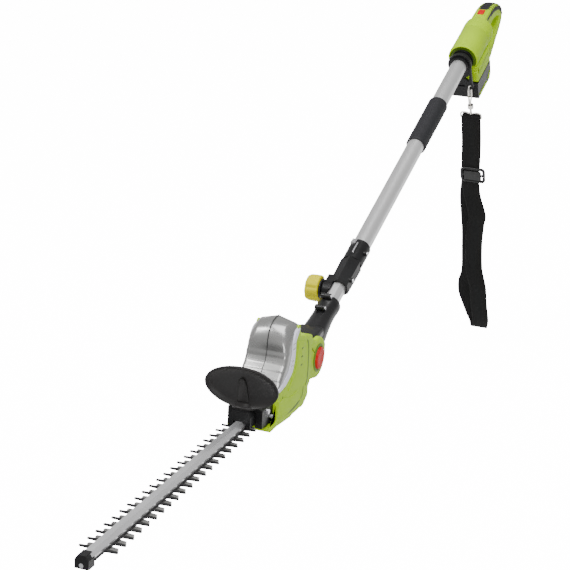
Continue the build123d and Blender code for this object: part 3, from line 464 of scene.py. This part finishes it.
for way, name in ((1, "left"), (-1, "right")):
    shape = joined(
        tray(shell_outline, 0.06 * way, HEAD_HALF * way, rim_roll, shell_wall, on_head),
        slab(cheek_outline, *sorted((22.6 * way, 30.6 * way)), 0.6 if way < 0 else 4.0, on_head,
             edge_low=4.0 if way < 0 else 0.6))
    shell = make_piece("head_shell_" + name + "_moulded", *shape, lime, "head", ("head_shell_" + name,),
                       "lime_plastic")
    outward(shell)
    flank = HEAD_HALF * way
    panel = rounded([(104, 60), (106, 36), (112, 14), (137, -6), (137, -10), (74, 22), (70, 46), (76, 52)],
                    4)
    raised = make_piece("head_panel_" + name, *slab(panel, *sorted((flank - way, flank + way * 0.9)), 0.7,
                                                    on_head), lime, "head", (), "lime_plastic")
    outward(raised)
    foot = rounded([(152, -14), (176, -12), (176, -38), (136, -45), (92, -40), (96, -20), (126, -22)], 5)
    plate = make_piece("head_foot_panel_" + name, *slab(foot, *sorted((flank - way, flank + way * 0.8)),
                                                        0.7, on_head), lime, "head", (), "lime_plastic")
    outward(plate)
    # Dark green strips along the flank's grooves: painted shade standing in for the shadow inside the
    # grooves.
    flank_groove_shades = joined(
        shade_strip_on_flank(smooth_path([(158, -9), (160, -24), (156, -36), (140, -43), (112, -45), (84, -41)], 30), 3.2,
              flank, 0.5, 0.25),
        shade_strip_on_flank(smooth_path([(64, 50), (57, 38), (55, 10), (56, -14), (62, -24)], 24), 3.4, flank, 0.5, 0.25),
        shade_strip_on_flank(smooth_path([(72, -22), (74, -34), (80, -40)], 14), 2.4, flank, 0.5, 0.25))
    outward(make_piece("head_groove_painted_shade_" + name, *flank_groove_shades, dark_lime, "head", (), "dark_lime"))
    # Dark green slabs over the vent slots: painted shade for the dark inside the openings.
    vent_shades = joined(*[slab(rounded([(u - 3.4, w - 1.3), (u + 3.4, w - 1.3), (u + 3.4, w + 1.3),
                                   (u - 3.4, w + 1.3)], 1),
                          *sorted((flank, flank + way * 1.1)), 0.2, on_head)
                     for u, w in ((85, 43), (86, 30), (87, 17))])
    outward(make_piece("head_vents_painted_shade_" + name, *vent_shades, dark_lime, "head", (), "dark_lime"))

ring_profile = [(28.5, 17.9), (31.4, 17.9), (32.2, 18.6), (32.2, 20.2), (31.2, 22.4), (28.5, 22.6)]
boss_ring = turned(ring_profile, PIVOT, LEFT, FORWARD)
outward(make_piece("button_ring", *boss_ring, dark_lime, "head", (), "dark_lime"))
button = turned([(24.5, 0.01), (24.5, 17.2), (33.2, 17.2), (34.6, 16.6), (35.3, 15.0), (35.5, 11.0),
                 (35.1, 9.0), (34.9, 0.01)], PIVOT, LEFT, FORWARD, closed=False)
stem = turned([(-0.8, 0.01), (-0.8, 5.9), (24.6, 5.9), (24.6, 0.01)], PIVOT, LEFT, FORWARD, closed=False)
outward(make_piece("tilt_button_moulded", *joined(button, stem), red, "tilt_button", ("tilt_button",),
                   "red_plastic"))


# ------------------------------------------------------------------ hood

front = [(178, 0.2), (181.5, 5), (171, 14.5), (169.4, 17.2), (160, 25.5), (158.0, 28.6), (151.5, 34.2),
         (149.2, 37.8),
         (146.2, 43), (145.2, 47.6), (143.6, 51.5), (142.6, 66), (139.5, 76), (133, 86), (118, 93),
         (98, 94.6)]
back = [(96, 84.4), (103, 84.4), (114.4, 68), (114.4, 38), (123.3, 16.3), (150, 3.3)]
hood_outline = rounded(front + back, [2, 2] + [1.2, 1.2] * 4 + [2, 8, 8, 10, 8, 4] + [2, 3, 5, 8, 8, 6], 5)
crown = np.repeat([1, 3, 6, 7, 7, 7, 7, 7, 7, 7, 8, 12, 15, 16, 14, 4] + [0.8] * 6, 5).astype(float)


def arched(a, y, b):
    """Head points whose height falls towards the sides near the crest, as an arch does."""
    drop = np.clip((b - 50) / 44, 0, 1) * 13.0 * (np.abs(y) / HEAD_HALF) ** 2.6
    return on_head(a, y, b - drop)


inward = inward_normals(hood_outline)
inward = sum(np.roll(inward, k, 0) for k in range(-9, 10))
inward /= np.linalg.norm(inward, axis=1)[:, None]
crown = sum(np.roll(crown, k) for k in range(-4, 5)) / 9
hood_rings = []
for t in np.linspace(-pi / 2, pi / 2, 33):
    lean = 1 - cos(t)
    flat = hood_outline + inward * (crown * lean)[:, None]
    depth = np.sign(t) * (HEAD_HALF - crown * (1 - abs(sin(t))))
    hood_rings.append(arched(flat[:, 0], depth, flat[:, 1]))
hood = make_piece("motor_hood_moulded", *lofted(np.stack(hood_rings)), silver, "head", ("motor_hood",),
                  "silver_plastic", sharp=28)
outward(hood)
seam_path = smooth_path(np.array(front)[2:], 60)
seam = wire(np.stack([seam_path[:, 0], np.zeros(60), seam_path[:, 1]], 1), 0.55, 8)
seam_world = on_head(*(np.asarray(seam[0]).T / MM))
outward(make_piece("hood_seam", seam_world, seam[1], black, "head", (), "black_plastic"))

rim = rounded([(103, 84.6), (114.6, 68.3), (114.6, 38.2), (123.4, 16.5), (150.2, 3.6), (176, 0.6), (180, 6),
               (161, 12), (141, 22), (131, 36), (129, 52), (128, 72), (116, 89), (98, 93)],
              [3, 5, 8, 8, 6, 3, 3, 6, 8, 8, 6, 8, 6, 4])
for way, name in ((1, "left"), (-1, "right")):
    shape = slab(rim, *sorted((way * 29, way * 35.3)), 1.1, arched)
    nodes = ("hood_rims",) if way > 0 else ()
    outward(make_piece("hood_rim_" + name, *shape, pale, "head", nodes, "pale_plastic"))
    gaps = joined(*[slab(rounded([(u - 4.5, w - 1), (u + 4.5, w - 1), (u + 4.5, w + 1), (u - 4.5, w + 1)],
                                 0.6), *sorted((way * 34.4, way * 35.5)), 0.15, on_head)
                    for u, w in ((122, 61), (122, 53), (126, 35), (128, 28))])
    outward(make_piece("rim_vents_" + name, *gaps, silver, "head", (), "silver_plastic"))


# ------------------------------------------------------------------ hand guard

LEAN = TILT - radians(12)
GUARD_FACE = np.array([cos(LEAN), 0.0, sin(LEAN)])
GUARD_UP = np.array([-sin(LEAN), 0.0, cos(LEAN)])
GUARD_AT = on_head(230.0, 0.0, 27.0)


def on_guard(across, up, out):
    """World points of the guard: mm to the left, up its face, and out of its face."""
    across, up, out = np.broadcast_arrays(across, up, out)
    return GUARD_AT + MM * (across[..., None] * LEFT + up[..., None] * GUARD_UP
                            + out[..., None] * GUARD_FACE)


turn_count = 96
angle = np.arange(turn_count) * 2 * pi / turn_count
reach = [(0.0, 2.6), (0.3, 2.7), (0.55, 3.0), (0.75, 3.8), (0.88, 5.6), (0.95, 8.0), (0.975, 9.3),
         (1.0, 9.2), (1.0, 6.5), (0.96, 3.0), (0.88, 0.8), (0.7, 0.0), (0.4, -0.2), (0.0, -0.3)]
shrink = np.array([max(r, 0.002) for r, out in reach])[:, None]
rise_out = np.array([out for r, out in reach])[:, None]
bowl = on_guard(57 * shrink * np.cos(angle),
                34 * shrink * np.sin(angle) * (1 - 0.04 * shrink * np.sin(angle)),
                np.broadcast_to(rise_out, (len(reach), turn_count)))
column = lofted(np.stack([
    on_guard(np.array([-w, -w, -w * 0.75, w * 0.75, w, w]), h, np.array([1.0, 4.4, 5.6, 5.6, 4.4, 1.0]))
    for h, w in ((-33, 11.5), (-24, 8.6), (-12, 7.2), (2, 6.0), (9, 4.6), (12, 2.0))]))
foot_rings = []
for r, b in ((0.2, -10.2), (1.0, -10.2), (1.0, -7.5), (0.93, -6.2), (0.8, -5.6), (0.72, -1.0), (0.2, -0.8)):
    foot_rings.append(on_head(224 + 13 * r * np.cos(angle), 18.5 * r * np.sin(angle), b))
outward(make_piece("hand_guard_moulded", *joined(lofted(bowl), column, lofted(np.stack(foot_rings))),
                   guard_black, "head", ("hand_guard",), "black_plastic"))


# ------------------------------------------------------------------ pole: foam, clamp knob

def along_pole(profile, around=72, ripple=None):
    """A closed (x, radius) profile turned about the pole's axis; ripple(x, angle) adds to the radius."""
    profile = np.asarray(profile, float)
    turn_by = np.arange(around) * 2 * pi / around
    x = np.broadcast_to(profile[:, :1], (len(profile), around))
    radius = np.broadcast_to(profile[:, 1:], (len(profile), around))
    if ripple is not None:
        radius = radius + ripple(x, turn_by[None, :], radius)
    points = on_pole(x, radius * np.cos(turn_by), radius * np.sin(turn_by))
    return points.reshape(-1, 3), grid_faces(len(profile), around, closed_rows=True)


foam_x = np.linspace(-67.2, 67.2, 90)
foam_profile = [(-68.5, 15.35), (-68.5, 16.6), (-68.3, 17.4), *[(x, 18.25) for x in foam_x], (68.3, 17.4),
                (68.5, 16.6), (68.5, 15.35)]


def foam_ripple(x, a, r):
    """A slight unevenness of the foam's outer face, in mm."""
    return 0.10 * np.sin(x * 0.23 + 2 * np.sin(a)) * np.sin(3 * a + x * 0.05) * (r > 18)


foam_piece = make_piece("foam_grip_sleeve", *along_pole(foam_profile, 96, foam_ripple), foam, "pole",
                        ("foam_grip",), "foam")
outward(foam_piece)

KNOB_AT = np.array([0.494, 0.0, 0.0])
lobe_angle = np.arange(144) * 2 * pi / 144


def lobed(out, radius, depth):
    """A ring of the knob, out mm to the right, whose radius dips by `depth` at nine scallops."""
    wave = radius - depth * (0.5 + 0.5 * np.cos(9 * lobe_angle)) ** 2.5
    return KNOB_AT + MM * np.stack([wave * np.cos(lobe_angle), np.full(144, -out),
                                    wave * np.sin(lobe_angle)], -1)


knob = lofted(np.stack([lobed(*row) for row in (
    (27.0, 17.0, 0), (27.0, 20.0, 0.6), (27.8, 21.6, 1.2), (29.5, 22.2, 1.8), (37, 22.2, 1.9),
    (45, 21.8, 1.8), (48.2, 20.9, 1.5), (49.7, 19.2, 1.0), (50.0, 17.4, 0.4), (49.6, 15.8, 0),
    (48.2, 14.8, 0),
    (47.8, 12.5, 0), (47.9, 6.0, 0), (48.0, 0.2, 0))]))
grip_bar = slab(rounded([(477.5, -3.2), (510.5, -3.2), (510.5, 3.2), (477.5, 3.2)], 3), -50.4, -47.0, 1.2,
                on_pole)
outward(make_piece("clamp_knob_moulded", *joined(knob, grip_bar), yellow, "clamp_knob", ("clamp_knob",),
                   "yellow_plastic"))
base = turned([(24.0, 0.5), (24.0, 16.4), (24.6, 17.0), (26.6, 17.0), (27.1, 16.4), (27.1, 0.5)], KNOB_AT,
              (0, -1, 0), (1, 0, 0), closed=False)
outward(make_piece("clamp_knob_base", *base, gloss_black, "clamp_knob", (), "black_plastic"))


# ------------------------------------------------------------------ shoulder strap

STRAP_WIDTH = 35.0
STRAP_X = -211.0
STRAP_Y = 18.0
front_leg = [(-118.4, 6.2, 0, 0), (-170, 6.4, -1, 0), (-229, 6.0, -4, 0), (-268, 6.0, -4, 0),
             (-300, 6.5, -2, 4),
             (-345, 9.5, 8, 8), (-372, 8.5, 4, 16), (-410, 7.0, -1, 24), (-455, 6.0, -4, 28),
             (-495, 6.5, -4, 20),
             (-535, 9.0, 3, 6), (-580, 9.5, 4, 4), (-620, 8.5, 6, 0), (-640, 5.2, 3, 0)]
back_leg = [(-651, 0.0, -1, 0), (-640, -5.2, -5, 0), (-622, -7.5, -12, 4), (-597, -8.0, -19, 8),
            (-566, -8.5, -27, 6),
            (-535, -8.5, -26, 4), (-505, -7.0, -18, 0), (-450, -6.5, -15, 0), (-394, -6.5, -13, 0),
            (-327, -6.2, -14, 0), (-296, -6.0, -12, 0), (-250, -5.6, -6, 0), (-180, -5.4, -1, 0),
            (-118.4, -5.6, 0, 0)]
over_bar = [(-113.8, -3.0, 0, 0), (-112.6, 0.0, 0, 0), (-113.8, 3.4, 0, 0)]
course = np.array([(STRAP_X + out, STRAP_Y + sway, z, twist)
                   for z, out, sway, twist in front_leg + back_leg + over_bar])
course = smooth_path(course, 420, closed=True)
place, twist = course[:, :3], np.radians(course[:, 3])
across = np.stack([-np.sin(twist), np.cos(twist), np.zeros(len(twist))], 1)
t = np.linspace(-0.5, 0.5, 11)
web_points = place[:, None] + STRAP_WIDTH * t[None, :, None] * across[:, None]
step = np.linalg.norm(np.diff(np.vstack([place, place[:1]]), axis=0), axis=1)
run = np.concatenate([[0], np.cumsum(step)])
web = make_piece("shoulder_strap_webbing", MM * web_points,
                 grid_faces(420, 11, closed_rows=True, closed_columns=False), webbing, "shoulder_strap",
                 ("shoulder_strap",), "webbing", sharp=180)
weave_map = web.data.uv_layers.new(name="weave")
loop_vertex = np.empty(len(web.data.loops), int)
web.data.loops.foreach_get("vertex_index", loop_vertex)
row, column_at = loop_vertex // 11, loop_vertex % 11
face_row = np.repeat(np.arange(len(web.data.polygons)) // 10, 4)
wrapped = (row == 0) & (face_row == 419)
along = np.where(wrapped, run[420], run[row]) * MM
weave_map.data.foreach_set("uv", np.stack([t[column_at] + 0.5, along], 1).astype(np.float32).ravel())
solidify(web, 0.0019, 0)


SLIDER_Y = STRAP_Y + 1.5
SLIDER_Z = -249.0
SLIDER_HALF = 22.5


def on_slider(a, out, b):
    """World metres of slider points in mm: a across the strap, out ahead of it, b up."""
    return MM * np.stack(np.broadcast_arrays(STRAP_X + out, SLIDER_Y + a, SLIDER_Z + b), -1)


slider_loop = rounded([(-SLIDER_HALF, -14.5), (SLIDER_HALF, -14.5), (SLIDER_HALF, 14.5),
                       (-SLIDER_HALF, 14.5)], 6, 10)
slider_out = wire([(STRAP_X + 7.4, SLIDER_Y + y, SLIDER_Z + z) for y, z in slider_loop], 3.0, 14,
                  closed=True)
cross_bar = wire([(STRAP_X + 7.8, SLIDER_Y + y, SLIDER_Z)
                  for y in np.linspace(-SLIDER_HALF, SLIDER_HALF, 12)], 2.4, 14)
slider_face = slab(rounded([(-17.5, -10.5), (17.5, -10.5), (17.5, 10.5), (-17.5, 10.5)], 3), 8.2, 11.6, 0.9,
                   on_slider)
outward(make_piece("strap_slider_moulded", *joined(slider_out, cross_bar, slider_face), gloss_black,
                   "strap_slider", ("strap_slider",), "black_plastic"))
keeper = wire([(STRAP_X - 5.5 + 4.5 * sin(a), STRAP_Y - 20 - 4.2 * cos(a), -284 + 9.0 * sin(a + 0.4))
               for a in np.arange(40) * 2 * pi / 40], 1.9, 12, closed=True)
outward(make_piece("strap_keeper", *keeper, gloss_black, "shoulder_strap", (), "black_plastic"))


# ------------------------------------------------------------------ swivel ring

ring_path = rounded([(-20.5, -119.2), (20.5, -119.2), (20.5, -107.0), (9, -106.2), (3.4, -108.6),
                     (-3.4, -108.6), (-9, -106.2), (-20.5, -107.0)], [4, 4, 6, 3, 2.5, 2.5, 3, 6], 8)
ring_wire = wire([(STRAP_X, STRAP_Y + y, z) for y, z in ring_path], 1.5, 14, closed=True)
stud = turned([(-110.4, 0.2), (-110.4, 2.4), (-108.0, 3.0), (-104.6, 2.4), (-97.4, 1.9), (-93.2, 1.9),
               (-93.2, 4.0),
               (-90.6, 4.0), (-90.6, 0.2)], (STRAP_X * MM, STRAP_Y * MM, 0), (0, 0, 1), (1, 0, 0), 32,
               closed=False)
outward(make_piece("strap_ring_wire", *joined(ring_wire, stud), nickel, "strap_ring", ("strap_ring",),
                   "hook_metal"))


# ------------------------------------------------------------------ clamp and neck trim

def from_above(a, b, y):
    """Pole points of an outline drawn from above: a along X, b up from the axis, y to the left."""
    return on_pole(a, y, b)


slot_frame = slab(rounded([(379, -3.4), (414, -3.4), (414, 3.4), (379, 3.4)], 3.2), 16.6, 18.4, 0.6,
                  from_above)
slot_bar = slab(rounded([(384, -1.3), (411, -1.3), (411, 1.3), (384, 1.3)], 1.2), 17.6, 19.0, 0.4,
                from_above)
outward(make_piece("clamp_slot_frame", *slot_frame, gloss_black, "pole", (), "black_plastic"))
outward(make_piece("clamp_slot_bar", *slot_bar, screw_metal, "pole", (), "screw_steel"))

neck_profile = [(527, 12.9), (527, 17.4), (527.6, 18.2), (528.6, 18.5), (538, 18.5), (541, 18.1),
                (546, 17.6), (560, 17.5), (570, 18.0), (590, 19.6), (606, 21.2), (620, 22.4), (630, 22.6),
                (634, 21.8),
                (635, 20.0), (635, 12.9)]
neck_skin = along_pole(neck_profile, 80)
eye = slab(np.array(circle_outline((664, 8), 26.2, 0, 354, 60)), -20.2, 20.2, 3.0, on_pole)
web_plate = slab(rounded([(606, -19), (606, 20), (640, 30), (662, 33.9), (662, -17.9), (640, -17)], 3),
                 -20.2, 20.2, 5.0, on_pole)
barrels = joined(*[slab(np.array(circle_outline((x, z), 4.6, 0, 345, 24)), -10.2, 6.2, 0.8, on_pole)
                   for x, z in ((534, 21.5), (563, 21.0), (599, -24))])
outward(make_piece("neck_moulded", *joined(neck_skin, eye, web_plate, barrels), gloss_black, "inner_pole",
                   ("neck_shell_left", "neck_shell_right"), "black_plastic"))


# ------------------------------------------------------------------ rear housing

barrel_profile = [(-345.9, 8.0), (-345.9, 24.0), (-345.2, 26.2), (-343.0, 28.0), (-340, 28.9), (-331, 29.3),
                  (-325, 29.3), (-324.4, 28.7), (-323.6, 28.7), (-323, 29.2), (-311, 29.2), (-310.2, 28.4),
                  (-309.4, 28.4), (-308.6, 28.9), (-262, 29.1), (-236, 29.6), (-233.2, 29.4),
                  (-231.6, 28.4), (-231, 27.4), (-231.2, 26.4), (-237.8, 26.0), (-238, 25.9), (-238, 26.1),
                  (-300, 26.1),
                  (-342, 25.2), (-343, 8.0)]
barrel = along_pole(barrel_profile, 96)
loop_outer = rounded([(-340, 27), (-382, 26), (-420, 16), (-446, 0), (-460.5, -16), (-458.5, -36),
                      (-436, -50.5), (-364, -78.4), (-348, -77.4), (-316, -48), (-316, -16)],
                     [3, 16, 18, 16, 12, 12, 14, 8, 7, 5, 3], 8)
bay_box = slab(rounded([(-231, -14), (-231, -25), (-228, -27), (-228, -48), (-314, -48), (-314, -14)],
                       [2, 2, 4, 5, 5, 3]), -30.2, 30.2, 4.0, on_pole)


def ring_slab(outer, hole, half, roll, place):
    """A slab with a hole: both outlines are sampled by angle about the hole's middle and bridged."""
    middle = hole.mean(0)
    bearing = np.linspace(-pi, pi, 240, endpoint=False)

    def by_bearing(outline):
        loop = np.vstack([outline, outline[:1]])
        fine = np.concatenate([np.linspace(a, b, 30, endpoint=False) for a, b in zip(loop[:-1], loop[1:])])
        at = np.arctan2(*(fine - middle).T[::-1])
        nearest = np.abs((bearing[:, None] - at[None, :] + pi) % (2 * pi) - pi).argmin(1)
        return fine[nearest]

    edge, inside = by_bearing(outer), by_bearing(hole)
    away = edge - middle
    away /= np.linalg.norm(away, axis=1)[:, None]
    rings = []
    for angle in np.linspace(0, pi / 2, 6):
        rings.append((edge - away * roll * (1 - cos(angle)), half - roll * (1 - sin(angle))))
    for angle in np.linspace(pi / 2, 0, 5):
        rings.append((inside + away * 2.5 * (1 - cos(angle)), half - 2.5 * (1 - sin(angle))))
    rings += [(flat, -y) for flat, y in rings[::-1]]
    points = np.stack([place(flat[:, 0], y, flat[:, 1]) for flat, y in rings])
    return points.reshape(-1, 3), grid_faces(len(rings), 240, closed_rows=True)


hole = rounded([(-352, -4), (-400, -6), (-428, -14), (-437, -24), (-430, -33), (-372, -55), (-352, -50)],
               [4, 8, 8, 5, 6, 7, 5], 8)
loop_body = ring_slab(loop_outer, hole, 15.0, 5.5, on_pole)
outward(make_piece("rear_barrel", *barrel, lime, "pole", ("rear_shell_left", "rear_shell_right"),
                   "lime_plastic"))
outward(make_piece("rear_handle_loop", *loop_body, lime, "pole", (), "lime_plastic"))
outward(make_piece("battery_bay", *bay_box, lime, "pole", (), "lime_plastic"))
for way, name in ((1, "left"), (-1, "right")):
    # A dark green strip along the bay's groove: painted shade in the groove.
    line = slab(rounded([(-233, -29), (-296, -20), (-296, -21.6), (-233, -30.6)], 0.5),
                *sorted((way * 29.6, way * 30.5)), 0.1, on_pole)
    outward(make_piece("bay_groove_painted_shade_" + name, *line, dark_lime, "pole", (), "dark_lime"))

grip_line = np.array([(-352.5, 8.5), (-360, 7.6), (-372, 6.4), (-384, 5.2), (-396, 4.2), (-408, 0.6),
                      (-420, -4.0), (-430, -8.2), (-438, -16.5), (-444.5, -25), (-450, -31)])
back_line = np.array([(-352.5, 26.6), (-362, 26.6), (-374, 26.4), (-386, 25.2), (-400, 21.8), (-414, 17.6),
                      (-428, 11.6), (-440, 4.4), (-451, -4.4), (-459, -14.5), (-462, -25)])
lower = smooth_path(grip_line, 150)
upper = smooth_path(back_line, 150)
around_grip = np.linspace(0, 2 * pi, 48, endpoint=False)
grip_rings = []
for k in range(150):
    ridge = 0.9 * (0.5 + 0.5 * np.cos(2 * pi * (k - 40) / 11.0)) if 34 < k < 132 else 0.0
    centre = (lower[k] + upper[k]) / 2
    half_up = np.linalg.norm(upper[k] - lower[k]) / 2 + ridge
    direction = (upper[k] - lower[k]) / np.linalg.norm(upper[k] - lower[k])
    up_part = np.sign(np.sin(around_grip)) * np.abs(np.sin(around_grip)) ** 0.8 * half_up
    out_part = np.sign(np.cos(around_grip)) * np.abs(np.cos(around_grip)) ** 0.7 * (15.4 + ridge)
    grip_rings.append(on_pole(centre[0] + direction[0] * up_part, out_part,
                              centre[1] + direction[1] * up_part))
outward(make_piece("grip_rubber_ribbed", *lofted(np.stack(grip_rings)), rubber, "pole", ("grip_rubber",),
                   "grip_rubber"))
seat = slab(rounded([(-350, 20), (-350, 28.2), (-376, 27.4), (-378, 20)], [2, 3, 4, 2]), -9.5, 9.5, 2.0,
            on_pole)
outward(make_piece("button_seat", *seat, lime, "pole", (), "lime_plastic"))
safety = slab(rounded([(-353, 16), (-353, 30.4), (-371, 29.2), (-371, 16)], [1, 2.5, 2.5, 1]), -6.3, 6.3,
              1.2, on_pole)
outward(make_piece("safety_button_moulded", *safety, red, "safety_button", ("safety_button",),
                   "red_plastic"))


# ------------------------------------------------------------------ stage, light, camera

FLOOR_HALF = 9.0
FLOOR_LEVEL = -0.70
FLOOR_CELLS = 40
FLOOR_GLOW = 14.0


def plain_floor(name, material):
    """A square floor grid at one level."""
    line = np.linspace(-FLOOR_HALF, FLOOR_HALF, FLOOR_CELLS)
    xx, yy = np.meshgrid(line, line, indexing="ij")
    points = np.stack([xx, yy, np.full_like(xx, FLOOR_LEVEL)], -1)
    sheet = bpy.data.meshes.new(name)
    faces = grid_faces(FLOOR_CELLS, FLOOR_CELLS, closed_columns=False)
    sheet.from_pydata(points.reshape(-1, 3).tolist(), [], faces)
    sheet.materials.append(material)
    floor = bpy.data.objects.new(name, sheet)
    bpy.context.scene.collection.objects.link(floor)
    return floor


def lamp(name, place, aim, size, power):
    """A soft rectangular lamp at place that looks at aim."""
    data = bpy.data.lights.new(name, "AREA")
    data.shape = "RECTANGLE"
    data.size, data.size_y = size
    data.energy = power
    item = bpy.data.objects.new(name, data)
    item.location = place
    item.rotation_euler = (Vector(aim) - Vector(place)).to_track_quat("-Z", "Y").to_euler()
    bpy.context.scene.collection.objects.link(item)
    return item


paper = finish("pale paper", (0.90, 0.90, 0.90), rough=0.8, grain=(60, 0.01), vary=0.01)
lift = paper.node_tree.nodes.new("ShaderNodeLightPath")
paper.node_tree.nodes["Principled BSDF"].inputs["Emission Color"].default_value = (1, 1, 1, 1)
glow = paper.node_tree.nodes.new("ShaderNodeMath")
glow.operation = "MULTIPLY"
glow.inputs[1].default_value = FLOOR_GLOW
paper.node_tree.links.new(lift.outputs["Is Camera Ray"], glow.inputs[0])
paper.node_tree.links.new(glow.outputs["Value"],
                          paper.node_tree.nodes["Principled BSDF"].inputs["Emission Strength"])
plain_floor("floor", paper)

RIGHT_OF_VIEW = Vector((-0.3538, 0.9302, -0.0974))
UP_OF_VIEW = Vector((-0.6103, -0.1507, 0.7777))
BACK_OF_VIEW = Vector((0.7088, 0.3346, 0.6210))

world = bpy.data.worlds.new("studio air")
bpy.context.scene.world = world
world.use_nodes = True
world.node_tree.nodes["Background"].inputs["Color"].default_value = (1.0, 1.0, 1.0, 1)
world.node_tree.nodes["Background"].inputs["Strength"].default_value = 0.55
lamp("key", (1.0, -1.6, 2.6), (0.4, 0, 0), (1.2, 1.2), 70)
lamp("top", (0.0, 0.4, 2.8), (0.2, 0, 0), (3.0, 2.0), 130)
lamp("front", (3.4, 0.9, 1.2), (0.6, 0, 0.1), (1.0, 1.6), 35)

camera_data = bpy.data.cameras.new("camera")
camera_data.sensor_width = 36.0
camera_data.lens = 111.85
camera_data.clip_end = 50.0
camera = bpy.data.objects.new("camera", camera_data)
turn = Matrix((RIGHT_OF_VIEW, UP_OF_VIEW, BACK_OF_VIEW)).transposed().to_4x4()
camera.matrix_world = Matrix.Translation((2.557, 0.883, 1.803)) @ turn
bpy.context.scene.collection.objects.link(camera)
bpy.context.scene.camera = camera
